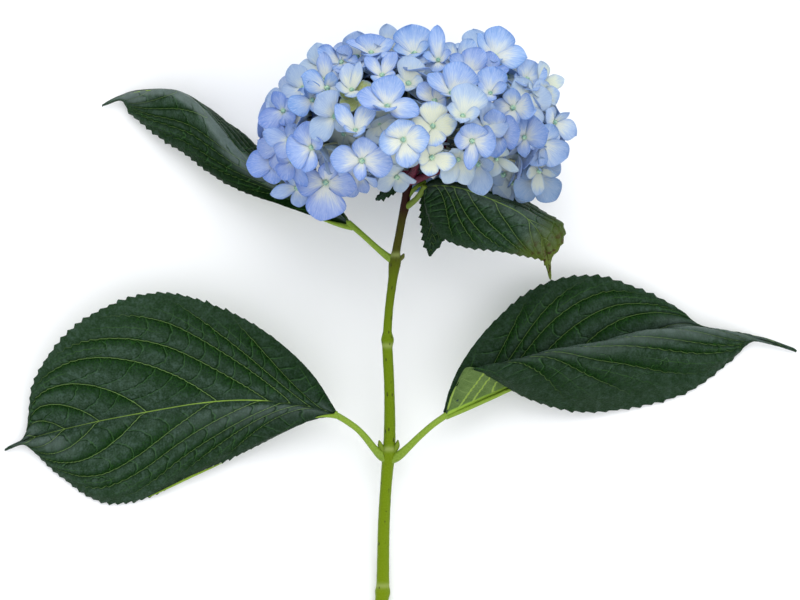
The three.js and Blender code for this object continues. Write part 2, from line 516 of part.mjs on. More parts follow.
// The chosen florets come first, then each further one goes to the free place farthest from the rest.
function floretPlaces(random) {
  const places = CHOSEN_FLORETS.map(([x, y, lift, [leanX, leanY], turn, sepals]) => ({
    offset: [x - HEAD.centre[0], y - HEAD.centre[1], heightOver(x, y)],
    lift,
    facing: vec([leanX, leanY, Math.sqrt(1 - leanX ** 2 - leanY ** 2)]),
    turn: turn * DEGREE,
    sepals,
  }));
  const free = [];
  for (let i = 0; i < HEAD.candidates; i += 1) {
    const height = 2 * random() - 1;
    const turn = 2 * Math.PI * random();
    const ring = Math.sqrt(1 - height * height);
    const offset = onHead([ring * Math.cos(turn), height, ring * Math.sin(turn)]);
    if (isFree(offset)) free.push({ offset, nearest: Infinity });
  }
  const notePlace = (offset) => free.forEach((candidate) => {
    const distance = vec(candidate.offset).distanceTo(vec(offset));
    candidate.nearest = Math.min(candidate.nearest, distance);
  });
  places.forEach(({ offset }) => notePlace(offset));
  while (places.length < HEAD.florets) {
    const next = free.reduce((a, b) => (b.nearest > a.nearest ? b : a));
    places.push({ offset: next.offset, size: 14.5 + 3 * random() });
    notePlace(next.offset);
  }
  return places;
}

// Neighbours take different depths, so that their sepals lie over each other. The chosen florets have
// their lift instead.
function giveLayers(places) {
  places.forEach((place, i) => {
    if (place.sepals) return;
    const crowd = HEAD.layers.map((depth) => places.slice(0, i).reduce((total, other) => {
      const distance = vec(place.offset).distanceTo(vec(other.offset));
      return other.depth === depth ? total + Math.max(0, 30 - distance) : total;
    }, 0));
    place.depth = HEAD.layers[crowd.indexOf(Math.min(...crowd))];
  });
}

// Gives a floret its centre; one that is not chosen also gets its facing and four like sepals.
function finishPlace(place, random) {
  const centre = vec(HEAD.centre).add(vec(place.offset));
  if (place.sepals) return { ...place, centre: centre.add(vec([0, 0, place.lift])) };
  const normal = headNormal(place.offset);
  const lean = new THREE.Vector3(random() - 0.5, random() - 0.5, random() - 0.5);
  const turn = 2 * Math.PI * random();
  const rise = 2 + 22 * random();
  return {
    centre: centre.addScaledVector(normal, place.depth),
    facing: normal.clone().addScaledVector(lean, 0.3).normalize(),
    turn,
    sepals: Array(4).fill([place.size, place.size, rise]),
  };
}

// A sepal's two shoulders, in the floret's own plane.
function shoulders([length, width, rise, swing = 0], quarter) {
  const slope = Math.min(rise, STEEPEST_SEPAL) * DEGREE;
  const azimuth = (quarter * 90 + swing) * DEGREE;
  const out = SHOULDER_REACH * length * Math.cos(slope);
  const spread = SHOULDER_SPREAD * width;
  return [-spread, spread].map((side) => [
    out * Math.cos(azimuth) - side * Math.sin(azimuth),
    out * Math.sin(azimuth) + side * Math.cos(azimuth),
    SHOULDER_REACH * length * Math.sin(slope),
  ]);
}

// The notch between a sepal and the next one round.
function notch(sepal, next, quarter) {
  const reach = Math.min(NOTCH_REACH * (sepal[1] + next[1]) / 2, 0.8 * Math.min(sepal[0], next[0]));
  const slope = Math.min((sepal[2] + next[2]) / 2, STEEPEST_SEPAL) * DEGREE;
  const azimuth = (quarter * 90 + 45 + ((sepal[3] ?? 0) + (next[3] ?? 0)) / 2) * DEGREE;
  const out = reach * Math.cos(slope);
  return [out * Math.cos(azimuth), out * Math.sin(azimuth), reach * Math.sin(slope)];
}

// One floret: four broad sepals in one plate round a small bud, and a thin pedicel into the core.
function floret({ centre, facing, turn, sepals }) {
  const twist = new THREE.Quaternion().setFromAxisAngle(vec([0, 0, 1]), turn);
  const pose = new THREE.Quaternion().setFromUnitVectors(vec([0, 0, 1]), facing).multiply(twist);
  const toWorld = (x, y, z) => vec([x, y, z]).applyQuaternion(pose).add(centre);

  const outline = sepals.flatMap((sepal, q) => [
    ...shoulders(sepal, q), notch(sepal, sepals[(q + 1) % 4], q),
  ]);
  const rim = (drop) => outline.map(([x, y, z]) => toWorld(x, y, z - drop));
  const ring = (radius, height) => Array.from({ length: 4 }, (_, k) => {
    const angle = (Math.PI / 2) * (k + 0.5);
    return toWorld(radius * Math.cos(angle), radius * Math.sin(angle), height);
  });
  const root = centre.clone().lerp(vec(HEAD.core.centre), 0.6);
  const foot = ring(PEDICEL_RADIUS, 0).map((p) => p.sub(centre).add(root));

  const points = [
    ...rim(0), ...rim(SEPAL_DROP), ...ring(BUD_RADIUS, 0.1), ...ring(PEDICEL_RADIUS, -SEPAL_DROP),
    ...foot, toWorld(0, 0, BUD_HEIGHT),
  ];
  const under = RIM_POINTS;
  const bud = 2 * RIM_POINTS;
  const neck = bud + 4;
  const base = neck + 4;
  const tip = base + 4;
  const triangles = [];
  for (let q = 0; q < 4; q += 1) {
    const before = (q + 3) % 4;
    const [first, second, corner] = [3 * q, 3 * q + 1, 3 * q + 2];
    const lastCorner = 3 * before + 2;
    const a = bud + before;
    const b = bud + q;
    triangles.push([a, lastCorner, first], [a, first, b], [b, first, second], [b, second, corner]);
    const c = neck + before;
    const d = neck + q;
    triangles.push([c, under + first, under + lastCorner], [c, d, under + first]);
    triangles.push([d, under + second, under + first], [d, under + corner, under + second]);
    triangles.push([tip, a, b]);
    triangles.push([c, base + before, base + q], [c, base + q, d]);
  }
  for (let k = 0; k < RIM_POINTS; k += 1) {
    const next = (k + 1) % RIM_POINTS;
    triangles.push([k, under + k, under + next], [k, under + next, next]);
  }
  triangles.push([base, base + 2, base + 1], [base, base + 3, base + 2]);
  return solidOf(points, triangles);
}

function flowerHead() {
  const random = makeRandom(HEAD.seed);
  const places = floretPlaces(random);
  giveLayers(places);
  const core = new THREE.SphereGeometry(1, 12, 8);
  core.scale(...HEAD.core.halfAxes);
  core.translate(...HEAD.core.centre);
  const florets = places.map((place) => floret(finishPlace(place, random)));
  return wasm.Manifold.union([solidOfGeometry(core), ...florets]);
}

function branches(grow = 0) {
  const root = vec(BRANCH_ROOT);
  return wasm.Manifold.union(BRANCHES.map(([x, y, z, length]) => {
    const way = vec([x, y, z]).normalize();
    const end = root.clone().addScaledVector(way, length);
    const bend = root.clone().addScaledVector(way, length / 2).add(vec([0, 1.5, 0]));
    return tube([[...root.toArray(), 2.2], [...bend.toArray(), 1.4], [...end.toArray(), 1.1]],
      BRANCH_SIDES, grow, 1);
  }));
}

// ---- assembly --------------------------------------------------------------------------------------
const group = new THREE.Group();
const keepClear = TOUCHING_GAP;

const stemSolid = (grow) => wasm.Manifold.union([
  tube(STEM, STEM_SIDES, grow, 1), ...STEM_BUDS.map((bud) => tube(bud, BUD_SIDES, grow)),
]);
const stemGrown = stemSolid(keepClear);
group.add(meshOf('stem', stemSolid(0), COLOURS.stem, 0.5));

const inHeadsWay = [stemGrown];
for (const [name, stations] of Object.entries(PETIOLES)) {
  const piece = tube(stations, PETIOLE_SIDES).subtract(stemGrown);
  group.add(meshOf(name, piece, COLOURS.petiole, 0.5));
  inHeadsWay.push(tube(stations, PETIOLE_SIDES, keepClear));
}

const handles = wasm.Manifold.union(inHeadsWay);
for (const [name, shape] of Object.entries(BLADES)) {
  const piece = blade(shape).subtract(handles);
  group.add(meshOf(name, piece, COLOURS.leaf, 0.45));
  inHeadsWay.push(blade(shape, keepClear));
}

const branchPiece = branches().subtract(wasm.Manifold.union(inHeadsWay));
group.add(meshOf('flower_branches', branchPiece, COLOURS.branch, 0.5));
inHeadsWay.push(branches(keepClear));

const ground = new THREE.BoxGeometry(600, 600, 40);
ground.translate(0, 0, -20);
const head = flowerHead()
  .subtract(wasm.Manifold.union(inHeadsWay))
  .subtract(solidOfGeometry(ground));
group.add(meshOf('flower_head', head, COLOURS.sepal, 0.6));

export default group;
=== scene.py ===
"""A cut hydrangea shoot lying on a pale floor, seen from straight above. Lengths are in millimetres
until a mesh is made, and Blender's metres from there on."""

import math
from functools import partialmethod

import bpy
import numpy as np
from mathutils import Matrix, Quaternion, Vector


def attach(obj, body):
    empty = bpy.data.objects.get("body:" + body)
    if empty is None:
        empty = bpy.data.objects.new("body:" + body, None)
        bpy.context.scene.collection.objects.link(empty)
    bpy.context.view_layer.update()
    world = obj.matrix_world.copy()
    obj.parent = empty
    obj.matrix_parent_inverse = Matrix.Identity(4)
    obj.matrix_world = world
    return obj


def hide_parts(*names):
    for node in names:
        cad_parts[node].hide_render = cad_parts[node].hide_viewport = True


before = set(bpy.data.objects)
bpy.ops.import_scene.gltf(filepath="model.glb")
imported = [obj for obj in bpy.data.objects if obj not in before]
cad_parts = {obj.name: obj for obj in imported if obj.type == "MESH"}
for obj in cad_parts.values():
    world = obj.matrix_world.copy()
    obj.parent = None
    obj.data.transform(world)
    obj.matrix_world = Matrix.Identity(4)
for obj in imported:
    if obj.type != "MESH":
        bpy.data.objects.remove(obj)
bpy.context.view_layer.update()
MM = 0.001

# ---- the shoot's lines, as in the CAD source, in millimetres ---------------------------------------
HEAD_CENTRE = np.array([5.0, 87.5, 60.0])
HEAD_HALF_WIDTH = 69.0
HEAD_ABOVE, HEAD_BELOW = 46.0, 15.0
HEAD_UP, HEAD_DOWN = 63.0, 56.0
HEAD_FULLNESS = 2.3
RIM_SHARE = 0.93          # florets set past this share of the outline stay at its height
CORE_CENTRE = np.array([5.0, 98.0, 61.0])
CORE_HALF_AXES = np.array([42.0, 22.0, 38.0])
FLORETS = 92
CANDIDATES = 2600
SEED = 4711
LAYERS = (-7.0, -2.5, 2.0)
NECK_RADIUS = 17.0
CLEARINGS = np.array([
    (22, 71, 68, 13), (34, 70, 68, 15), (48, 66, 66, 15), (62, 60, 62, 13),
    (-38, 64, 33, 15), (-50, 72, 28, 16), (-62, 80, 24, 16), (-72, 90, 20, 15),
    (3, 62, 54, 18), (4, 57, 78, 17), (4, 57, 98, 16), (12, 72, 82, 18),
    (-14, 58, 55, 17), (-14, 58, 80, 17), (-28, 58, 80, 14), (-12, 66, 64, 14),
], float)

# Florets placed one by one on the head's upper side: x, y, lift off the dome, lean, turn of the first
# sepal, four sepals (length, width, rise, swing), and a look (pale, violet, grey).
CHOSEN_FLORETS = [
    (-6, 104.5, 4, (0.05, 0.55), 80, ((15, 15.5, 35), (15.5, 13, 22), (12, 11, 45), (15.5, 12, 8, -8)),
     (0.25, 0.35, 0)),
    (1.5, 89, 3, (0, -0.1), 100, ((10.5, 14.5, 25), (11.5, 12, 12), (13, 11.5, 5), (12.5, 13, 15)),
     (0.6, 0.2, 0)),
    (-18, 79.5, 3, (0, -0.15), 85, ((12, 12, 18), (15, 13, 8), (10, 6, 30), (14.5, 14.5, 8)),
     (0.35, 0.45, 0)),
    (-42, 86, 2, (-0.1, 0.05), 100, ((13, 13, 25), (12, 17, 10), (12.5, 9, 15, -20), (11, 7, 55, 10)),
     (0.27, 0.4, 0)),
    (-36, 70.5, 6, (0, -0.1), 82, ((13, 9, 35), (15, 14, 8), (18.5, 19, 0), (15, 12, 8)), (0.3, 0.55, 0)),
    (-19.5, 74, -2, (-0.25, -0.75), 30, ((14, 10, 30), (14, 10, 30), (13, 13, 35), (9, 8, 35)),
     (0.3, 0.45, 0.1)),
    (-1.5, 73.5, -3, (0.1, -0.6), 20, ((12, 7, 45), (10, 10, 20), (11, 9, 20), (8, 8, 30)),
     (0.2, 0.5, 0.45)),
    (-21, 93, 3, (0, 0.5), 45, ((15, 9, 28, 6), (15.5, 8, 28, -4), (9, 7, 50), (9, 7, 50)), (0.6, 0.15, 0)),
    (-10, 97.5, -5, (0, -0.1), 70, ((11, 9, 15),) * 4, (0.5, 0.4, 0.5)),
    (15.5, 95.5, -1, (0, 0.2), 95, ((11.5, 13, 15), (11.5, 10.5, 15), (10.5, 12.5, 15), (11.5, 10.5, 15)),
     (1, 0.1, 0)),
    (15, 81, 0, (0.1, -0.2), 80, ((9.5, 7.5, 20), (7.5, 8.5, 20), (8.5, 8.5, 10), (11.5, 9, 10)),
     (1, 0.1, 0)),
    (29.5, 99.5, 9, (0.05, 0.6), 75, ((16, 17.5, 36), (9, 9, 35), (8.5, 9.5, 35), (9, 9, 35)),
     (0.55, 0.2, 0.25)),
    (24.5, 111, 4, (-0.05, 0.5), 67, ((15.5, 17.5, 30), (14.5, 9, 27, -8), (10, 8, 50), (12, 10, 20)),
     (0.3, 0.4, 0)),
    (34, 88.5, 5, (-0.1, -0.1), 85, ((10, 13, 35), (9, 9.5, 30), (13.5, 6.5, 10), (11.5, 15, 12)),
     (0.4, 0.4, 0)),
    (43, 111.5, 3, (0.05, 0.55), 80, ((13, 14, 34), (8, 8, 40), (8, 8, 30), (10, 6, 45, 10)),
     (0.4, 0.35, 0)),
    (54, 105, 4, (-0.35, 0.1), -8, ((13.5, 12.5, 22), (9.5, 8.5, 25), (10, 8, 15), (11.5, 10, 15)),
     (0.5, 0.25, 0)),
    (59.5, 91, 4, (-0.4, 0), 8, ((16, 15.5, 25), (9, 11.5, 20), (8, 8, 20), (9.5, 6.5, 15)),
     (0.25, 0.3, 0)),
    (69, 89.5, -2, (0.3, -0.1), 60, ((10, 10, 10), (10, 10, 10), (12, 13, 5), (14, 14, 5)),
     (0.2, 0.25, 0.1)),
    (68.5, 112, 0, (0.3, 0), 15, ((9, 9, 20), (9, 9, 20), (8, 8, 20), (13, 9, 8)), (0.7, 0.25, 0.15)),
    (75, 100, 0, (0.6, 0), 60, ((9.5, 4, 60), (9, 9, 20), (10, 10, 10), (13, 10, 10)), (0.4, 0.3, 0.2)),
    (45.5, 131.5, 3, (0.15, 0.6), 80, ((15, 15, 38), (14, 9, 38, -25), (8, 8, 30), (16, 13, 15)),
     (0.35, 0.1, 0)),
    (61.5, 120.5, 1, (0.35, 0.45), 25, ((11, 10, 20), (10, 13, 35), (8.5, 8.5, 20), (8.5, 8.5, 20)),
     (0.2, 0.4, 0.1)),
    (7, 132.5, 4, (-0.05, 0.7), 95, ((14.5, 18.5, 44), (11, 9, 30), (9.5, 11.5, 35), (9.5, 7.5, 42)),
     (0.4, 0.15, 0)),
    (18.5, 128.5, 4, (-0.2, 0.6), 88, ((17, 7.5, 40), (8, 6.5, 40), (8.5, 8.5, 10), (9, 7, 40)),
     (0.35, 0.35, 0)),
    (-14, 133, 3, (0.05, 0.75), 90, ((9.5, 16, 50), (14, 8, 30), (8.5, 9.5, 30), (13, 9, 35)),
     (0.3, 0.45, 0)),
    (-8.5, 120, 2, (0, 0.6), 55, ((13, 7, 32), (12, 7, 35), (8, 6.5, 30), (8, 6.5, 30)), (0.4, 0.45, 0)),
    (4, 116, -1, (0, 0.55), 85, ((13.5, 13, 33), (7.5, 7.5, 30), (7.5, 7.5, 30), (7.5, 7.5, 30)),
     (0.6, 0.3, 0.3)),
    (16.5, 107.5, -2.5, (-0.1, 0.4), 60, ((8.5, 7.5, 25), (11, 9, 25, -15), (8.5, 7.5, 25), (6.5, 6.5, 20)),
     (0.5, 0.45, 0)),
    (-35, 114.5, 2, (0.35, 0.25), 75, ((8, 6.5, 30), (14, 12, 12), (9.5, 8.5, 15), (8, 6.5, 20)),
     (0.35, 0.1, 0)),
    (-42, 109, 2, (0.3, 0.1), 20, ((8, 6.5, 30), (10, 8, 30), (14, 11, 15), (8, 6.5, 30)), (0.27, 0.2, 0)),
    (-31, 100.5, 3, (0.25, -0.1), 45, ((9, 7, 30), (14.5, 14.5, 22), (15, 12, 5), (9, 8, 10)),
     (0.12, 0.3, 0.3)),
    (-56.5, 105, 2, (0.1, 0), 30, ((7.5, 7.5, 20), (11, 7, 25), (13.5, 11, 12), (8.5, 8.5, 25)),
     (0.12, 0.6, 0)),
    (-54, 111, -7, (-0.6, 0.2), 0, ((11.5, 11.5, 20), (12.5, 11, 10), (13, 11.5, 10), (11.5, 11.5, 10)),
     (0.18, 0.5, 0.3)),
    (-53, 90, 1, (0, 0), 75, ((8.5, 7.5, 20), (13, 9, 10), (9.5, 8.5, 10, -15), (8, 8, 20)),
     (0.3, 0.5, 0.1)),
    (-57.5, 88, -7, (-0.5, -0.1), 0, ((11.5, 11.5, 20), (11.5, 11.5, 20), (12.5, 10, 10), (12.5, 11, 10)),
     (0.06, 0.6, 0.1)),
    (-61, 79.5, 0, (-0.15, 0), 0, ((8, 8, 20), (9, 9, 10), (13.5, 13, 5), (9.5, 9.5, 10)), (0.09, 0.6, 0)),
    (-52, 80.5, 3, (0, -0.1), 60, ((9, 8, 20), (9.5, 6.5, 30), (10, 10, 10), (14, 6, 5, -30)),
     (0.12, 0.55, 0)),
    (-50, 68.5, -2, (-0.1, -0.5), 5, ((9, 9, 20), (9.5, 8.5, 20), (13.5, 7, 25), (9.5, 8.5, 20)),
     (0.36, 0.3, 0.15)),
    (-28.5, 128.5, 2, (0, 0.7), 65, ((9, 8, 38), (13, 11.5, 25), (9, 8, 20), (9, 8, 20)), (0.3, 0.35, 0)),
    (-35.5, 119.5, 0, (-0.1, 0.6), 95, ((13, 7, 38), (8.5, 7.5, 20), (8.5, 7.5, 20), (8.5, 7.5, 20)),
     (0.5, 0.55, 0.1)),
    (-38, 126.5, -3, (-0.25, 0.65), 100,
     ((13, 10.5, 30), (11.5, 11.5, 20), (11.5, 11.5, 20), (11.5, 11.5, 20)), (0.25, 0.4, 0.35)),
    (-23, 113, 1, (0, 0.6), 100, ((13, 9, 35), (8.5, 7.5, 30), (8.5, 7.5, 30), (14, 5, 38, 60)),
     (0.6, 0.35, 0.2)),
    (-20.5, 109, -5, (0, 0.3), 45, ((10, 9, 20),) * 4, (1.3, 0, 0)),
    (-47, 116, -3, (-0.2, 0.4), 115, ((12.5, 11, 30), (11, 11, 20), (11, 11, 20), (11, 11, 20)),
     (0.3, 0.4, 0.3)),
    (40.5, 95, -2, (0.1, 0.4), 90, ((13.5, 8, 35), (10.5, 8.5, 20), (10.5, 10.5, 20), (11, 10, 20)),
     (0.2, 0.3, 0.2)),
    (46, 93, -1, (-0.3, 0), 5, ((12.5, 16, 15), (11.5, 10.5, 25), (10.5, 10.5, 20), (12.5, 11, 20)),
     (0.15, 0.4, 0)),
    (27.5, 80.5, -1, (0, -0.5), 25, ((8.5, 7.5, 30), (8.5, 7.5, 30), (13, 9, 30, 30), (13, 10, 30)),
     (0.55, 0.3, 0.45)),
    (37, 78.5, 2, (0, -0.4), 10, ((8.5, 7.5, 30), (8.5, 7.5, 30), (9, 8, 30), (15, 12, 25)),
     (0.05, 0.3, 0.25)),
    (46, 81, 0, (0, -0.5), -20, ((12, 5, 30), (9, 8, 20), (9, 8, 20), (9, 7, 20)), (0.6, 0.2, 0.5)),
    (67.5, 76.5, 2, (0.2, -0.4), 0, ((9.5, 4, 45), (8, 6.5, 20), (8, 6.5, 30), (12.5, 6.5, 35, -10)),
     (0.9, 0.1, 0)),
    (67, 73, -2, (0.2, -0.3), 40, ((13, 12, 10), (10, 10, 10), (14, 13, 10), (14, 14, 10)),
     (0.15, 0.3, 0.15)),
    (50.5, 75, -7, (0.1, -0.4), 70, ((13, 13, 10),) * 4, (0.2, 0.4, 0.6)),
    (69.5, 117.5, -3, (0.5, 0.3), 20, ((11.5, 7, 20), (12.5, 8.5, 30), (11.5, 9, 20), (11.5, 7, 20)),
     (0.8, 0.3, 0.4)),
    (28.5, 128, 0, (0, 0.7), 50, ((13, 10, 38), (12, 11, 38, 10), (8.5, 8.5, 20), (8.5, 8.5, 20)),
     (0.5, 0.15, 0.1)),
    (33.5, 122.5, -3, (0, 0.6), 60, ((13, 13, 35), (12.5, 10, 35), (10.5, 10.5, 20), (10.5, 10.5, 20)),
     (0.3, 0.5, 0)),
    (42, 122, -4, (0.1, 0.6), 80, ((11.5, 9, 35), (10.5, 8.5, 20), (10.5, 8.5, 20), (11.5, 7, 35)),
     (0.1, 0.5, 0)),
    (-21, 131.5, -4, (0, 0.8), 90, ((13, 13, 50), (12.5, 11, 30), (11.5, 11.5, 20), (12.5, 11, 30)),
     (0.2, 0.4, 0.2)),
    (-5.5, 136, -2, (0, 0.75), 95, ((12, 9, 42), (9, 9, 30), (9, 9, 20), (9, 9, 30)), (0.35, 0.4, 0.3)),
    (-58, 102, -6, (-0.75, 0.1), 90, ((11.5, 11.5, 10),) * 4, (0.12, 0.5, 0.3)),
]

# Florets that fill gaps between those, deeper in the head.
GAP_FLORETS = [
    (52, 122.5, -9, (0.1, 0.6), 30, ((13, 12, 20), (13, 12, 25), (12, 11, 20), (12, 12, 20)),
     (0.3, 0.3, 0.35)),
    (-9, 128, -17, (0, 0.6), 40, ((13, 12, 20), (13, 12, 25), (12, 11, 20), (12, 12, 20)),
     (0.35, 0.3, 0.35)),
    (-23.5, 127, -17, (0, 0.6), 20, ((14, 13, 20),) * 4, (0.3, 0.3, 0.3)),
    (13.5, 126.5, -18, (0, 0.6), 35, ((14, 13, 20),) * 4, (0.35, 0.3, 0.3)),
    (38, 133, -10, (0, 0.6), 10, ((14, 13, 20),) * 4, (0.3, 0.3, 0.25)),
    (60, 108, -11, (0.3, 0.2), 20, ((14, 13, 20),) * 4, (0.4, 0.3, 0.3)),
    (55, 71, -9, (0.05, -0.2), 50, ((12, 12, 15),) * 4, (0.15, 0.3, 0.3)),
]

# Stations of the stem, its buds and the petioles: x, y, z, radius.
STEM = [
    (-9.8, -146.4, 3.6, 3.4), (-9.3, -140, 4.3, 3.4), (-8.9, -136, 4.8, 3.9), (-8.8, -132, 5.4, 3.3),
    (-8.6, -118, 8, 3.1), (-8.2, -100, 11, 3), (-7.2, -82, 15, 2.9), (-6.2, -70, 17.3, 3.1),
    (-5.7, -64.7, 18.4, 3.8), (-5.4, -60, 19.2, 3.1), (-5.2, -46, 21.6, 2.8), (-5.5, -28, 25, 2.6),
    (-6.3, -11, 29.4, 2.6), (-6.3, -6.5, 30.4, 3.2), (-6.3, -2, 31.2, 2.2), (-5.4, 10, 35, 2.1),
    (-3.6, 24, 40, 2.3), (-2.5, 33, 43.2, 3.1), (-1.9, 38, 44.6, 2.1), (-0.4, 46, 47.4, 2),
    (1, 53.7, 50, 2), (2.2, 59, 52, 2.3), (3, 64, 54, 2.2), (3.9, 71, 56.6, 2.4),
]
STEM_BUDS = [
    [(-8.2, -63.5, 19.5, 1.3), (-9.8, -60.5, 20.6, 1.4), (-10.6, -57.6, 21.2, 0.4)],
    [(-3, -63.5, 19.5, 1.3), (-1.6, -60.5, 20.6, 1.4), (-1, -57.4, 21.2, 0.4)],
    [(-0.6, 33.5, 43.5, 1.2), (1.2, 35, 44.3, 1.1), (2, 36.6, 44.9, 0.4)],
]
PETIOLES = {
    "petiole_lower_left": [
        (-6.2, -67, 18, 2.9), (-9.5, -65.4, 19.4, 2.4), (-13.1, -61.6, 21.6, 1.9), (-17.6, -55.8, 24, 1.7),
        (-21.6, -51.6, 25, 1.6), (-27.4, -47.4, 25.6, 1.6), (-31.5, -45, 25.2, 1.6),
    ],
    "petiole_lower_right": [
        (-5.2, -67.2, 18, 2.9), (-1.4, -65.9, 19.4, 2.4), (4.5, -60.7, 22.3, 1.9), (9.2, -56, 24, 1.7),
        (16.4, -49.6, 25.4, 1.6), (22, -45.6, 24.6, 1.6),
    ],
    "petiole_upper_left": [
        (-2.8, 33.2, 43, 2.5), (-6, 35, 43.6, 1.9), (-11.4, 39.4, 43.8, 1.5), (-18, 45.4, 42.6, 1.4),
        (-24.4, 51, 40.2, 1.5),
    ],
    "petiole_upper_right": [
        (1.6, 58.6, 50.6, 1.6), (3.8, 60.2, 53.2, 1.7), (6.2, 61.8, 56.6, 1.5), (8.8, 64.2, 60.8, 1.4),
        (10.7, 66.8, 64.2, 1.4), (11.7, 68.5, 65.8, 1.4),
    ],
    "stalk_small_hanging": [
        (3.2, 63.8, 54, 1.4), (5.9, 67.2, 56, 1.1), (8.7, 69.8, 57, 1), (11.1, 71.2, 56.3, 1),
    ],
}

# Branches of the flower head from their common root: direction and length. Branchlets: x, y, z, radius.
BRANCHES = [
    (0, 1, 0, 13), (-0.75, 0.66, 0.1, 21), (0.75, 0.66, -0.1, 21), (0.1, 0.62, 0.78, 20),
    (-0.1, 0.62, -0.78, 20), (-0.5, 0.7, 0.5, 18), (0.5, 0.7, 0.5, 18),
]
BRANCH_ROOT = np.array([4.2, 73.2, 57.4])
BRANCHLETS = [
    [(4, 72, 58, 2.2), (7, 77, 74, 1.7), (9, 83, 88, 1.4), (11, 91, 99, 1)],
    [
        (5, 72, 60, 2.2), (12, 74, 74, 1.8), (16, 76, 84, 1.6), (20, 84, 93, 1.4), (22, 96, 100, 1.3),
        (22, 107, 103, 1),
    ],
    [(-2, 76, 66, 1.8), (-14, 82, 82, 1.3), (-18, 88, 92, 1)],
    [(14, 75, 76, 1.8), (30, 80, 82, 1.4), (42, 86, 86, 1)],
]
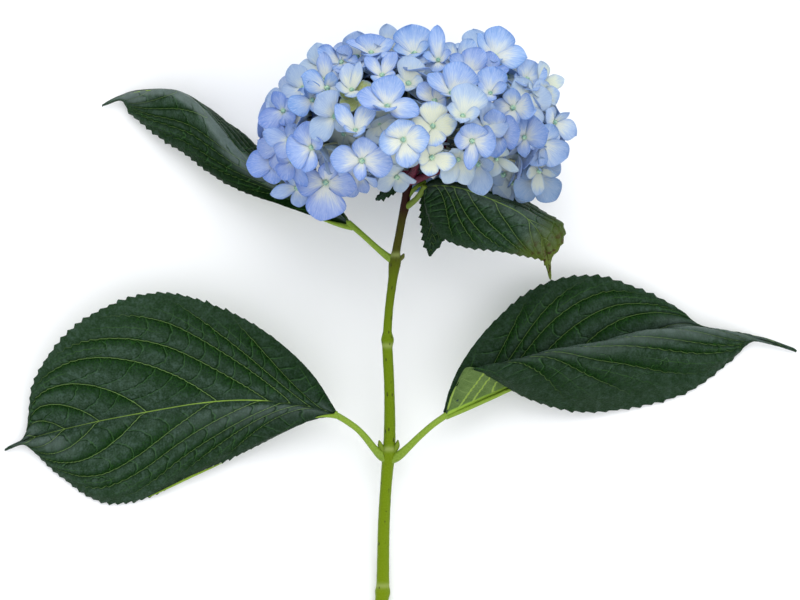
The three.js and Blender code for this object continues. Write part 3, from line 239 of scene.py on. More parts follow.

# Blades: lines from base to tip along the midrib and the two margins ("near" is the cut end's side; a
# "Middle" line says where that half passes half way out, and otherwise "dome" says how high it arches).
# Then rows and cells per half, teeth, the share of the margin without teeth, how light the midrib is and
# up to where it is hidden, how light the side veins are, their shift and stretch on the two halves, the
# painted highlight on folds, how dark the painted shade over the base is and how far that reaches, and how
# far the keel below runs.
BLADE_DEFAULTS = dict(
    smooth=0.1, hidden=0, light=0.3, shift=(0.03, 0), stretch=(1, 1), fold_sheen=0, dark=(0.6, 1.4), keel=0.72,
)
BLADES = {
    "blade_lower_left": dict(
        midrib=[
            (-32, -44.2, 25), (-50, -39.6, 23), (-76, -37.3, 18), (-100, -38.8, 14), (-131, -44, 10),
            (-161, -50, 7), (-191, -58, 3.8), (-203, -63.4, 2),
        ],
        near=[
            (-32.3, -45.4, 24.6), (-38, -45.6, 23), (-45, -47, 20.6), (-58, -53, 16), (-82, -65, 8),
            (-108, -76.5, 3), (-133, -88.4, 1.6), (-153, -89.6, 1.4), (-174, -76.5, 1.6),
            (-188, -63.8, 2.4), (-193, -60.6, 2.6), (-202.8, -63.9, 2),
        ],
        far=[
            (-32.5, -42.4, 25.4), (-45, -23, 30), (-65, -4.6, 31), (-88, 8.2, 30), (-121, 16.8, 26),
            (-155, 6.4, 20), (-176.4, -12, 14), (-187.4, -31, 9), (-190, -47, 6), (-192.6, -57, 3.6),
            (-202.8, -62.8, 2),
        ],
        dome=(7, 3), rows=320, cells=30, teeth=46, smooth=0.26, rib=0.9, hidden=0.18, light=0.8, fold_sheen=0.25,
        dark=(0.45, 0.55), keel=0.85,
    ),
    "blade_lower_right": dict(
        midrib=[
            (22.5, -44.6, 24), (38, -38, 22.4), (54, -31, 20.4), (81, -19.6, 16.4), (114, -9, 12),
            (138, -4.6, 9), (167, -3.6, 6), (185, -6.2, 4), (203.6, -12.6, 2),
        ],
        near=[
            (23.2, -45.6, 24.2), (28, -31, 31), (34, -20.5, 34), (45, -25, 32), (65, -36.2, 18),
            (92, -43.2, 7), (120, -41, 2.4), (148, -33, 1.4), (170, -16.8, 1.6), (180.6, -7.4, 2.6),
            (188, -7.8, 3), (203.4, -13, 2),
        ],
        nearMiddle=[
            (22.8, -44.4, 25), (31, -29.6, 32), (41, -21.6, 37), (54, -17.6, 38), (76, -13.4, 36.5),
            (98, -12.4, 32), (120, -8.4, 26), (147, -5.4, 18), (166, -5.2, 11), (179, -6.6, 6),
            (203.5, -12.8, 2.2),
        ],
        far=[
            (22, -43, 24.2), (25.5, -31, 25), (31, -19, 25), (45, -0.4, 22), (70, 19.8, 17), (98, 25.4, 13),
            (126, 17, 10), (143, 8.2, 8), (152, 1, 7), (181, -4.8, 4.2), (203.5, -12.2, 2),
        ],
        dome=(0, 3), rows=320, cells=30, teeth=37, smooth=0.3, rib=0.1, light=0.5, shift=(0, 0.03),
        stretch=(1.35, 1), fold_sheen=0.4, dark=(0.35, 1.2), keel=0.7,
    ),
    "blade_upper_left": dict(
        midrib=[
            (-25.2, 51.7, 39.8), (-33, 57.6, 36), (-46.5, 63.6, 33), (-60, 70.7, 30.6), (-72, 79.5, 30),
            (-84, 90, 31), (-93.5, 101.5, 31), (-103, 113, 28), (-115, 120, 22), (-136, 119.4, 11),
            (-144, 116.9, 7), (-153, 113.2, 2.6),
        ],
        near=[
            (-25.2, 50.4, 39.4), (-35, 52.6, 35), (-46, 56.8, 31), (-58.5, 61.4, 27), (-72, 65.8, 23.6),
            (-86, 71.8, 20), (-97, 78.8, 17.5), (-108.5, 87.8, 14), (-121, 95.8, 10), (-131, 103.6, 7),
            (-138, 109.4, 5.4), (-142.4, 115.6, 5), (-152.8, 112.6, 2.4),
        ],
        far=[
            (-25, 52.8, 39.6), (-31, 60.6, 33), (-42, 71, 25), (-58, 83, 14), (-73.5, 92.2, 6),
            (-80.4, 98.2, 5), (-89, 104.4, 3), (-97.4, 110.2, 2), (-105, 115, 2), (-116, 119, 1.8),
            (-134, 120.8, 2.6), (-144, 117.9, 4), (-152.8, 113.8, 2.6),
        ],
        dome=(3, 3), rows=300, cells=26, teeth=36, smooth=0.42, rib=0.1, light=0.42, shift=(0, 0.03),
        stretch=(1.4, 1.3), fold_sheen=0.55, dark=(0.95, 0.9), keel=0.5,
    ),
    "blade_upper_right": dict(
        midrib=[
            (12.2, 69, 66.4), (21, 69.4, 71.6), (29, 68.2, 74.8), (39, 64.8, 76.8), (50, 60.2, 76.6),
            (59.5, 55.4, 73.8), (67, 48.4, 68), (71, 41.2, 60), (73, 34, 52), (75, 23.5, 44),
        ],
        near=[
            (11.6, 67.4, 65.8), (13.6, 56.4, 61), (20, 45.6, 59.6), (31, 40.2, 61), (44, 38.6, 62.4),
            (57, 36.4, 61.6), (65.6, 34.8, 58), (70.8, 33.4, 53), (73, 29.4, 48), (74.6, 23.7, 44),
        ],
        far=[
            (12.4, 70.6, 66), (20, 73, 63), (29, 73.8, 60.6), (46, 69.4, 58.4), (60, 63.6, 57),
            (72, 56.4, 56), (80, 51.2, 55.4), (81, 45.4, 54), (78.4, 38.8, 52.4), (75, 34.2, 50.4),
            (74.9, 29.4, 47.6), (75.4, 23.7, 44),
        ],
        dome=(3, 3), rows=240, cells=24, teeth=21, rib=0.55, light=0.6, fold_sheen=0.15, dark=(0.5, 0.6),
    ),
    "blade_small_hanging": dict(
        midrib=[(11.4, 71.2, 55.8), (13.2, 66, 52), (15, 57, 45.4), (16, 47, 39), (15, 35.4, 33)],
        near=[(10.6, 70.6, 55.6), (10.8, 64, 49.4), (10.8, 55, 43), (12, 44.5, 37), (14.5, 35.7, 33)],
        far=[(12.6, 71, 55.8), (18.6, 65, 50), (23, 56.5, 42.6), (22, 45, 37.4), (15.6, 35.8, 33)],
        dome=(1, 1), rows=110, cells=12, teeth=10, rib=0.2,
    ),
    "blade_small_neck": dict(
        midrib=[(0.8, 69.6, 55), (-4, 68, 54.2), (-8, 66, 53), (-12, 63.2, 51)],
        near=[(0.8, 68.8, 54.8), (-4, 66, 53.8), (-8.4, 64, 52.4), (-11.8, 62.8, 51)],
        far=[(0.8, 70.4, 54.8), (-3.6, 70, 53.8), (-7.6, 68, 52.4), (-12.2, 63.7, 51)],
        dome=(0.4, 0.4), rows=50, cells=8, teeth=5, rib=0.3,
    ),
}

# Pale undersides that show past a blade's margin where it rolls over: x, y, z, radius.
ROLLED_EDGES = [
    ("blade_lower_left", [
        (-31, -45.2, 25.6, 1.5), (-35, -45, 25.5, 1), (-39, -45.2, 25, 0.6), (-43, -45.8, 24.2, 0.3),
        (-46, -46.6, 23.2, 0.15),
    ]),
    ("blade_lower_left", [
        (-129, -87.6, 2.8, 0.2), (-118, -82.4, 3.8, 0.5), (-108, -77.5, 4.6, 0.6), (-98, -73, 6, 0.45),
        (-91, -69.8, 7.4, 0.2),
    ]),
    ("blade_upper_left", [
        (-23.6, 49.4, 40.4, 1.3), (-28, 50.4, 39.2, 1.2), (-33, 51.8, 37.2, 0.9), (-38, 53.4, 35, 0.5),
        (-43, 55.3, 32.6, 0.15),
    ]),
]

# Side veins of a blade: where each leaves the midrib and how much nearer the tip it meets the margin,
# as shares of the blade's length, and how bowed it is.
SIDE_VEINS = np.array([
    (0.03, 0.30, 1.2), (0.08, 0.40, 1.35), (0.14, 0.52, 1.6), (0.205, 0.60, 1.3), (0.355, 0.53, 1.25),
    (0.565, 0.37, 1.2), (0.705, 0.25, 1.15), (0.81, 0.165, 1.15), (0.90, 0.09, 1.15),
])


def make_random(seed):
    """Repeatable draws between 0 and 1."""
    state = seed

    def draw():
        nonlocal state
        state = (state * 16807) % 2147483647
        return state / 2147483647

    return draw


# ---- curves ----------------------------------------------------------------------------------------
def catmull_rom(points, t):
    """Points of a centripetal Catmull-Rom line at t (0 to 1, even steps between its points)."""
    points = np.asarray(points, float)
    padded = np.vstack([2 * points[0] - points[1], points, 2 * points[-1] - points[-2]])
    place = np.clip(t, 0, 1) * (len(points) - 1)
    piece = np.minimum(place.astype(int), len(points) - 2)
    w = (place - piece)[:, None]
    p0, p1, p2, p3 = (padded[piece + k] for k in range(4))

    def gap(a, b):
        return np.maximum(np.linalg.norm(b - a, axis=1), 1e-8)[:, None] ** 0.5

    d0, d1, d2 = gap(p0, p1), gap(p1, p2), gap(p2, p3)
    m1 = ((p1 - p0) / d0 - (p2 - p0) / (d0 + d1) + (p2 - p1) / d1) * d1
    m2 = ((p2 - p1) / d1 - (p3 - p1) / (d1 + d2) + (p3 - p2) / d2) * d1
    return (
        p1 + m1 * w
        + (-3 * p1 + 3 * p2 - 2 * m1 - m2) * w ** 2
        + (2 * p1 - 2 * p2 + m1 + m2) * w ** 3
    )


def lengths_along(line, axis=0):
    """The length run up to each point of a line, or of each line in a grid."""
    steps = np.linalg.norm(np.diff(line, axis=axis), axis=-1)
    return np.insert(np.cumsum(steps, axis=axis), 0, 0, axis=axis)


def along(points, t):
    """Points of a Catmull-Rom line at even lengths."""
    steps = np.linspace(0, 1, 1600)
    length = lengths_along(catmull_rom(points, steps))
    return catmull_rom(points, np.interp(np.asarray(t) * length[-1], length, steps))


def unit(vectors):
    """Vectors of length 1 along these."""
    return vectors / np.maximum(np.linalg.norm(vectors, axis=-1, keepdims=True), 1e-12)


def grid_normal(grid):
    """Unit normals of a surface given as a grid of points."""
    return unit(np.cross(np.gradient(grid, axis=0), np.gradient(grid, axis=1)))


def fade(value, start, end):
    """0 at start, 1 at end, straight between."""
    return np.clip((value - start) / (end - start), 0, 1)


# ---- meshes ----------------------------------------------------------------------------------------
def mesh_piece(name, points, faces, materials, node, uvs=(), values=(), face_material=None,
               rim=None):
    """A piece made of four-sided faces. rim marks the vertices of sharp borders."""
    faces = np.asarray(faces, np.int32)
    mesh = bpy.data.meshes.new(name)
    mesh.vertices.add(len(points))
    mesh.vertices.foreach_set("co", (np.asarray(points) * MM).astype(np.float32).ravel())
    mesh.loops.add(faces.size)
    mesh.loops.foreach_set("vertex_index", faces.ravel())
    mesh.polygons.add(len(faces))
    mesh.polygons.foreach_set("loop_start", np.arange(0, faces.size, 4, dtype=np.int32))
    mesh.polygons.foreach_set("use_smooth", np.ones(len(faces), bool))
    if face_material is not None:
        mesh.polygons.foreach_set("material_index", np.asarray(face_material, np.int32))
    mesh.update(calc_edges=True)
    for uv_name, uv in dict(uvs).items():
        layer = mesh.uv_layers.new(name=uv_name)
        layer.data.foreach_set("uv", np.asarray(uv, np.float32)[faces.ravel()].ravel())
    for value_name, value in dict(values).items():
        attribute = mesh.attributes.new(value_name, "FLOAT", "POINT")
        attribute.data.foreach_set("value", np.asarray(value, np.float32))
    if rim is not None:
        ends = np.zeros(2 * len(mesh.edges), np.int32)
        mesh.edges.foreach_get("vertices", ends)
        marks = np.asarray(rim)[ends.reshape(-1, 2)]
        sharp = mesh.attributes.new("sharp_edge", "BOOLEAN", "EDGE")
        sharp.data.foreach_set("value", (marks[:, 0] == marks[:, 1]) & (marks[:, 0] > 0))
    for material in materials:
        mesh.materials.append(material)
    piece = bpy.data.objects.new(name, mesh)
    bpy.context.scene.collection.objects.link(piece)
    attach(piece, "root")
    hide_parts(node)


def shell(grid, thickness):
    """A closed thin shell on a grid of points: its points, faces, how far each face lies to the lower
    side (0.5 on the border), and rim marks."""
    rows, cols, _ = grid.shape
    half = grid_normal(grid) * thickness / 2
    index = np.arange(rows * cols).reshape(rows, cols)
    a, b, c, d = index[:-1, :-1], index[1:, :-1], index[1:, 1:], index[:-1, 1:]
    upper = np.stack([a, b, c, d], -1).reshape(-1, 4)
    lower = np.stack([a, d, c, b], -1).reshape(-1, 4) + rows * cols
    border = np.concatenate([index[:, 0], index[-1, 1:], index[-2::-1, -1], index[0, -2:0:-1]])
    after = np.roll(border, -1)
    sides = np.stack([border, border + rows * cols, after + rows * cols, after], -1)
    rim = np.zeros(2 * rows * cols, np.int8)
    rim[border] = 1
    rim[border + rows * cols] = 2
    under = np.repeat([0.0, 1.0, 0.5], [len(upper), len(lower), len(sides)])
    points = np.concatenate([(grid + half).reshape(-1, 3), (grid - half).reshape(-1, 3)])
    return points, np.concatenate([upper, lower, sides]), under, rim


def ring_faces(rings, sides):
    """Faces of a closed body made of rings of points, with the first and last ring capped."""
    index = np.arange(rings * sides).reshape(-1, sides)
    after = np.roll(index, -1, axis=1)
    faces = np.stack([index[:-1], index[1:], after[1:], after[:-1]], -1).reshape(-1, 4)
    caps = [[row[0], row[k + 2], row[k + 1], row[k]] for row in (index[0][::-1], index[-1])
            for k in range(1, sides - 2, 2)]
    return np.concatenate([faces, caps])


TUBE_TIP = 0.02           # radius of a tube's end faces, and depth of the rounding round them
TUBE_SHOULDER = 0.97      # the tube's radius there, as a share of its own


def tube_mesh(stations, sides, rings, shape=None):
    """A tapered tube through (x, y, z, radius), closed by small end caps: points, faces and real-size
    coordinates (round the tube, along it)."""
    stations = np.asarray(stations, float)
    t = np.linspace(0, 1, rings + 1)
    centre = catmull_rom(stations[:, :3], t)
    radius = catmull_rom(stations[:, 3:], t)[:, 0]
    # both ends are drawn in over two short rings, so that the caps are round-shouldered
    lead = unit(centre[1] - centre[0]) * TUBE_TIP
    tail = unit(centre[-1] - centre[-2]) * TUBE_TIP
    centre = np.vstack([centre[0], centre[0] + lead, centre[1:-1], centre[-1] - tail, centre[-1]])
    first, last = radius[[0, -1]] * TUBE_SHOULDER
    radius = np.concatenate([[TUBE_TIP, first], radius[1:-1], [last, TUBE_TIP]])
    tangent = unit(np.gradient(centre, axis=0))
    run = stations[-1, :3] - stations[0, :3]
    reference = np.array([1.0, 0, 0] if abs(run[2]) > 0.7 * np.linalg.norm(run) else [0, 0, 1.0])
    side = unit(np.cross(tangent, reference))
    top = np.cross(side, tangent)
    angle = 2 * np.pi * np.arange(sides) / sides
    length = lengths_along(centre)
    reach = radius[:, None] * np.ones(sides)
    if shape is not None:
        reach = shape(reach, length[:, None], angle[None, :])
    points = (
        centre[:, None]
        + side[:, None] * (reach * np.cos(angle))[..., None]
        + top[:, None] * (reach * np.sin(angle))[..., None]
    )
    real = np.stack(np.broadcast_arrays(angle * 3.0, length[:, None]), -1).reshape(-1, 2)
    return points.reshape(-1, 3), ring_faces(len(length), sides), real


class Gathered:
    """Many small meshes put together as one piece."""

    def __init__(self):
        self.points, self.faces, self.values, self.uvs, self.rims = [], [], {}, {}, []
        self.count = 0

    def add(self, points, faces, values=(), uvs=(), rim=None):
        self.points.append(points)
        self.faces.append(faces + self.count)
        for name, value in dict(values).items():
            self.values.setdefault(name, []).append(np.broadcast_to(value, len(points)))
        for name, uv in dict(uvs).items():
            self.uvs.setdefault(name, []).append(uv)
        if rim is not None:
            self.rims.append(rim)
        self.count += len(points)

    def add_tube(self, stations, sides, rings, **values):
        points, faces, real = tube_mesh(stations, sides, rings)
        self.add(points, faces, values, {"real": real})

    def piece(self, name, skin, node, slot):
        mesh_piece(
            name, np.concatenate(self.points), np.concatenate(self.faces), [skin], node,
            uvs={key: np.concatenate(parts) for key, parts in self.uvs.items()},
            values={key: np.concatenate(parts) for key, parts in self.values.items()},
            rim=np.concatenate(self.rims) if self.rims else None,
        )


# ---- materials -------------------------------------------------------------------------------------
MIX_AMOUNT, MIX_FIRST, MIX_SECOND, MIX_RESULT = 0, 6, 7, 2      # a Mix node's sockets for colours


def srgb(*channels):
    """A colour given as 0-255 screen values, as Blender's linear one."""
    linear = [c / 255 / 12.92 if c <= 10 else ((c / 255 + 0.055) / 1.055) ** 2.4 for c in channels]
    return (*linear, 1.0)


def plug(value, place):
    """Gives a socket its value, or its source where the value is a wire or another socket."""
    source = value.socket if isinstance(value, Wire) else value
    if isinstance(source, bpy.types.NodeSocket):
        place.id_data.links.new(source, place)
    else:
        place.default_value = value


class Wire:
    """A number in a node tree. Arithmetic on it adds Math nodes."""

    def __init__(self, socket):
        self.socket = socket

    def math(self, operation, *others):
        node = self.socket.id_data.nodes.new("ShaderNodeMath")
        node.operation = operation
        for place, value in zip(node.inputs, (self, *others)):
            plug(value, place)
        return Wire(node.outputs[0])

    __add__ = __radd__ = partialmethod(math, "ADD")
    __sub__ = partialmethod(math, "SUBTRACT")
    __mul__ = __rmul__ = partialmethod(math, "MULTIPLY")
    __truediv__ = partialmethod(math, "DIVIDE")
    __pow__ = partialmethod(math, "POWER")
    abs = partialmethod(math, "ABSOLUTE")
    fract = partialmethod(math, "FRACT")

    def __rsub__(self, other):
        return (self * -1.0) + other

    def step(self, low, high):
        """0 below low, 1 above high, smooth between; low may lie above high."""
        node = self.socket.id_data.nodes.new("ShaderNodeMapRange")
        node.interpolation_type = "SMOOTHSTEP"
        ends = ((low, 0.0), (high, 1.0))
        for name, (value, result) in zip(("Min", "Max"), ends if low <= high else ends[::-1]):
            node.inputs["From " + name].default_value = value
            node.inputs["To " + name].default_value = result
        plug(self, node.inputs["Value"])
        return Wire(node.outputs["Result"])


class Shader:
    """A material's node tree, with short names for what these materials use."""

    def __init__(self, name):
        self.material = bpy.data.materials.new(name)
        self.material.use_nodes = True
        self.nodes = self.material.node_tree.nodes
        self.bsdf = self.nodes["Principled BSDF"]

    def new(self, kind, inputs=(), **settings):
        """A new node, with its settings, and with its inputs' values or sources."""
        node = self.nodes.new("ShaderNode" + kind)
        for name, value in settings.items():
            setattr(node, name, value)
        for name, value in dict(inputs).items():
            plug(value, node.inputs[name])
        return node

    def uv(self, name):
        """A UV map's coordinates, whole and as two numbers."""
        whole = self.new("UVMap", uv_map=name).outputs[0]
        parts = self.new("SeparateXYZ", {0: whole}).outputs
        return whole, Wire(parts[0]), Wire(parts[1])

    def values(self, *names):
        """Numbers that the mesh carries at its vertices."""
        return [Wire(self.new("Attribute", attribute_name=name).outputs["Fac"]) for name in names]

    def combine(self, *parts):
        return self.new("CombineXYZ", enumerate(parts)).outputs[0]

    def noise(self, vector, scale, detail=2.0):
        inputs = {"Vector": vector, "Scale": scale, "Detail": detail}
        return Wire(self.new("TexNoise", inputs).outputs["Fac"])

    def cells(self, vector, scale, feature="DISTANCE_TO_EDGE"):
        node = self.new("TexVoronoi", {"Vector": vector, "Scale": scale}, feature=feature)
        return Wire(node.outputs["Distance"])

    def place(self):
        """The point in the object's own frame, in metres."""
        return self.new("TexCoord").outputs["Object"]

    def mix(self, amount, *colours):
        """A colour between two, each a socket or screen values."""
        first, second = (srgb(*c) if isinstance(c, tuple) else c for c in colours)
        inputs = {MIX_AMOUNT: amount, MIX_FIRST: first, MIX_SECOND: second}
        return self.new("Mix", inputs, data_type="RGBA").outputs[MIX_RESULT]

    def coats(self, body, *coats):
        """A colour with others laid over it in turn, each given as (amount, colour)."""
        for amount, colour in coats:
            body = self.mix(amount, body, colour)
        return body

    def surface(self, colour, roughness, specular=0.5, relief=()):
        """Sets the shader's main inputs. relief is (height, strength, distance)."""
        inputs = {"Base Color": colour, "Roughness": roughness, "Specular IOR Level": specular}
        if relief:
            bump = self.new("Bump", dict(zip(("Height", "Strength", "Distance"), relief)))
            inputs["Normal"] = bump.outputs[0]
        for name, value in inputs.items():
            plug(value, self.bsdf.inputs[name])
        return self.material

    def translucent(self, colour, share):
        """Lets part of the light through the sheet."""
        through = self.new("BsdfTranslucent", {"Color": colour}).outputs[0]
        mixed = self.new("MixShader", {0: share, 1: self.bsdf.outputs[0], 2: through})
        plug(mixed.outputs[0], self.nodes["Material Output"].inputs["Surface"])


def sepal_material():
    s = Shader("sepal")
    _, side, out = s.uv("petal")
    _, across, _ = s.uv("cross")
    violet, pale, grey, under, seed, painted_shade = s.values("violet", "pale", "grey", "under", "seed", "painted_shade")
    # veins and streaks fan out from the sepal's foot
    angle = side.math("ARCTAN2", out + 0.10)
    broad = s.noise(s.combine(angle * 2.2, out * 1.2, seed), 2.0)
    streak = s.noise(s.combine(angle * 9.0, out * 1.4, seed), 2.2, 3.0)
    fine = s.noise(s.combine(angle * 30.0, out * 2.5, seed), 2.4)
    vein = ((angle * 9.0 + broad * 1.2).fract() - 0.5).abs().step(0.13, 0.0) * out.step(1.0, 0.3)
    margin = across.math("MAXIMUM", out * 0.96)
    reach = out + (streak - 0.5) * 0.35 + (broad - 0.5) * 0.35 - pale * 0.6 - 0.02
    edge = margin + (streak - 0.5) * 0.6 + (broad - 0.5) * 0.4 + (fine - 0.5) * 0.2 - pale * 0.45
    body = s.coats(
        (244, 246, 236),
        (pale.step(0.3, 1.0), (246, 248, 222)),
        (pale.step(1.0, 1.3), (196, 206, 120)),
        (reach.step(-0.05, 0.46), s.mix(violet, (190, 216, 247), (192, 205, 245))),
        (edge.step(0.12, 1.05), s.mix(violet, (118, 166, 228), (128, 148, 222))),
        (fine.step(0.52, 0.64) * 0.34 * (1.0 - under), (232, 240, 252)),
        (vein * 0.32 * (1.0 - pale * 0.4), s.mix(edge.step(0.25, 0.60), (112, 150, 208), (214, 228, 250))),
        (fine.step(0.46, 0.36) * 0.22 * (1.0 - pale * 0.6), (112, 152, 214)),
        (margin.step(0.90, 1.0) * 0.35, (92, 130, 192)),
        # painted shade in the gaps between neighbouring sepals, at their feet
        (across.step(0.7, 0.95) * out.step(0.22, 0.10) * 0.7, (60, 84, 84)),
        (out.step(0.16, 0.02) * 0.6, (206, 222, 182)),
        (under * 0.55, s.mix(violet, (158, 184, 212), (160, 168, 212))),
        (vein * under * 0.25, (206, 220, 236)),
        (grey, (214, 224, 206)),
        # painted shade on florets deep in the head and on those at the lower right
        (painted_shade, (96, 124, 148)),
    )
    s.translucent(body, 0.30)
    return s.surface(body, 0.6, 0.3, (fine * 0.5 + streak * 0.5 - vein * 0.5, 0.35, 0.0004))


def leaf_material(name, top):
    s = Shader(name)
    real, across, _ = s.uv("real")
    _, place, gap = s.uv("vein")
    wide, spacing, fold_sheen, dark, yellow, rib_light, light, rung_gap = s.values(
        "wide", "spacing", "fold_sheen", "dark", "yellow", "rib", "light", "rung_gap")
    away = across.abs()
    # painted highlight on folds, kept off the margins
    fold_sheen = fold_sheen * wide.step(0.70, 0.30)
    # painted shade over the blade's base, kept off the midrib
    dark = dark * wide.step(0.15, 0.50)
    wobble = s.noise(real, 22.0) - 0.5
    mottling = s.noise(real, 14.0, 4.0)
    sheen_blotch = s.noise(real, 34.0, 3.0)
    grit = s.noise(real, 105.0)
    # side veins: part runs from 0 to 1 over the panel between two of them
    part = (place + wobble * 0.05).fract()
    off_middle = (part - 0.5).abs()
    to_vein = (0.5 - off_middle) * gap * 10.0
    shown = wide.step(0.97, 0.74) * gap.step(0.12, 0.28)
    vein = to_vein.step(0.36, 0.10) * shown
    outer = (off_middle * gap * 10.0).step(0.34, 0.08) * wide.step(0.62, 0.72) * shown
    # painted shade: dark green beside each side vein, and over the part of each panel next to the side vein
    # nearer the base
    painted_vein_shade = to_vein.step(2.2, 0.3) * shown
    shaded = part.step(0.62, 0.04) * shown * away.step(0.03, 0.09)
    # cross veins, each a light line beside a crease painted dark as shade, and the net between them
    lean = gap.math("MINIMUM", 1.3) * (10.0 * RUNG_LEAN)
    rung_place = (away * 100.0 - lean * (1.0 - part) ** 1.5) / spacing + wobble * 0.22
    rung_off = (rung_place.fract() - 0.5) * rung_gap
    clear = wide.step(0.03, 0.14) * wide.step(0.92, 0.70) * to_vein.step(0.1, 0.8)
    clear = clear * rung_gap.step(32.0, 18.0)
    rung = rung_off.abs().step(0.42, 0.0) * clear
    dashes = s.noise(real, 30.0, 1.0).step(0.30, 0.52)
    crease = (rung_off - 0.7).abs().step(0.85, 0.0) * dashes * clear
    net_line = s.cells(real, 62.0).step(0.09, 0.0)
    midrib = (away / (rib_light * 0.75 + 0.25)).step(0.0066, 0.0030)
    if top:
        body = s.coats(
            s.mix(mottling.step(0.3, 0.7), (34, 54, 36), (50, 69, 54)),
            # painted sheen: blue-grey patches on the panels
            (sheen_blotch.step(0.46, 0.70) * 0.65, (66, 86, 76)),
            (grit.step(0.52, 0.66) * 0.3, (72, 92, 82)),
            (grit.step(0.48, 0.36) * 0.4, (12, 30, 12)),
            (wide.step(0.45, 0.95) * 0.3, (20, 46, 14)),
            # painted shade over the panels and beside the side veins
            (shaded * 0.8, (12, 38, 8)),
            (painted_vein_shade * 0.7, (6, 30, 2)),
            # painted highlight on folds
            (fold_sheen * (0.6 + mottling * 0.7), (108, 122, 120)),
            # painted shade over the blade's base
            (dark, (6, 24, 4)),
            # painted shade in the creases
            (crease * 0.65, (6, 28, 2)),
            (net_line * (0.15 + shaded * 0.35), (40, 78, 28)),
            (rung * 0.42, (66, 104, 56)),
            (outer * 0.4, (60, 98, 40)),
            (vein * light * (1.0 - wide * 0.5), (120, 150, 86)),
            (midrib * rib_light.step(0.0, 0.8), (146, 180, 76)),
        )
        # the gloss follows the sheen patches, rises under the painted fold highlight and drops out under the
        # painted shade
        matt = 1.0 - (shaded * 0.9).math("MAXIMUM", crease)
        specular = (sheen_blotch * 0.05 + 0.015 + fold_sheen * 0.25) * matt * (1.0 - dark)
        roughness, ridge = 0.36, -1.0
    else:
        body = s.coats(
            s.mix(mottling.step(0.3, 0.7), (78, 102, 50), (94, 118, 62)),
            (net_line * 0.3, (118, 140, 84)),
            (rung * 0.35, (120, 146, 80)),
            (to_vein.step(0.75, 0.3) * shown, (140, 166, 74)),
            (away.step(0.02, 0.01) * wide.step(0.5, 0.25), (138, 172, 60)),
        )
        specular, roughness, ridge = 0.12, 0.6, 1.0
    body = s.coats(
        body,
        (yellow * (0.25 + mottling * 0.9), (98, 112, 38)),
        (yellow * s.noise(real, 26.0).step(0.56, 0.64), (62, 44, 26)),
    )
    relief = (net_line * 0.3 + rung * 0.3 + vein * 0.8) * ridge + mottling * 0.4 + grit * 0.5 - crease * 0.8
    return s.surface(body, mottling * 0.18 + (roughness - 0.08), specular, (relief, 0.6, 0.0005))


def stem_material():
    s = Shader("stem_skin")
    real, _, _ = s.uv("real")
    height, ring = s.values("height", "ring")
    grain = s.noise(real, 1.1, 3.0)
    stretched = s.new("VectorMath", {0: real, 1: (0.36, 0.17, 0.0)}, operation="MULTIPLY").outputs[0]
    speck = s.cells(stretched, 1.0, "F1").step(0.24, 0.15) * s.noise(real, 0.16, 1.0).step(0.40, 0.52)
    body = s.coats(
        s.mix(height.step(0.05, 0.45), (106, 128, 4), (94, 118, 2)),
        ((height + (grain - 0.5) * 0.12).step(0.58, 0.82), (58, 57, 6)),
        ((height + (grain - 0.5) * 0.06).step(0.84, 0.93), (42, 16, 8)),
        (ring * 0.6, (150, 162, 96)),
        (speck * 0.9, (34, 24, 12)),
        (grain.step(0.35, 0.75) * height.step(0.92, 0.6) * 0.2, (138, 158, 50)),
    )
    return s.surface(body, 0.42, 0.08, (grain * 0.6 + speck, 0.4, 0.0004))


def grained_material(name, scale, dark, light, value, over, roughness, specular):
    """A colour mottled with a lighter one, under a third where the mesh's value asks for it."""
    s = Shader(name)
    grain = s.noise(s.uv("real")[0], scale, 3.0)
    body = s.coats(s.mix(grain.step(0.3, 0.7), dark, light), (s.values(value)[0], over))
    return s.surface(body, roughness, specular, (grain, 0.3, 0.0003))


def petiole_material():
    return grained_material(
        "petiole_skin", 0.9, (110, 138, 30), (130, 158, 50), "olive", (80, 96, 20), 0.42, 0.25)


def branch_material():
    return grained_material(
        "branch_skin", 0.8, (62, 14, 30), (104, 36, 58), "pale", (176, 184, 150), 0.5, 0.12)


def core_material():
    s = Shader("head_core")
    mottling = s.noise(s.place(), 240.0, 3.0)
    # dark grey-green: partly the crowded buds' own colour, partly painted shade deep in the head
    body = s.mix(mottling.step(0.35, 0.65), (52, 62, 60), (86, 100, 96))
    return s.surface(body, 0.8, relief=(mottling, 0.6, 0.001))


def bud_material():
    s = Shader("floret_bud")
    speckle = s.noise(s.place(), 900.0)
    return s.surface(s.mix(speckle.step(0.35, 0.65), (112, 158, 146), (174, 206, 168)), 0.5)


# ---- stem, petioles, branches ----------------------------------------------------------------------
STEM_SIDES, STEM_RINGS = 48, 420
RING_PLACES = (-132.5, -62.0, -9.5, 36.0)       # y of the light rings round the stem
RING_SPREAD = 1.3
BUD_HEIGHTS = (0.37, 0.37, 0.80)                # where the stem's buds sit, as shares of its length
PETIOLE_OVERLAP = 2.0                           # how far a petiole runs on into its blade


def stem_shape(reach, length, angle):
    """Faint ridges along the bark."""
    return reach * (1 + 0.012 * np.sin(6 * angle + 0.02 * length) + 0.008 * np.sin(0.9 * length + angle))


def make_stem():
    points, faces, real = tube_mesh(STEM, STEM_SIDES, STEM_RINGS, stem_shape)
    height = np.repeat(np.linspace(0, 1, len(points) // STEM_SIDES), STEM_SIDES)
    ring = np.exp(-((points[:, 1:2] - RING_PLACES) / RING_SPREAD) ** 2).max(1)
    gathered = Gathered()
    gathered.add(points, faces, {"height": height, "ring": ring}, {"real": real})
    for bud, at in zip(STEM_BUDS, BUD_HEIGHTS):
        gathered.add_tube(bud, 24, 24, height=at, ring=0.3)
    gathered.piece("stem_bark", stem_material(), "stem", "stem")


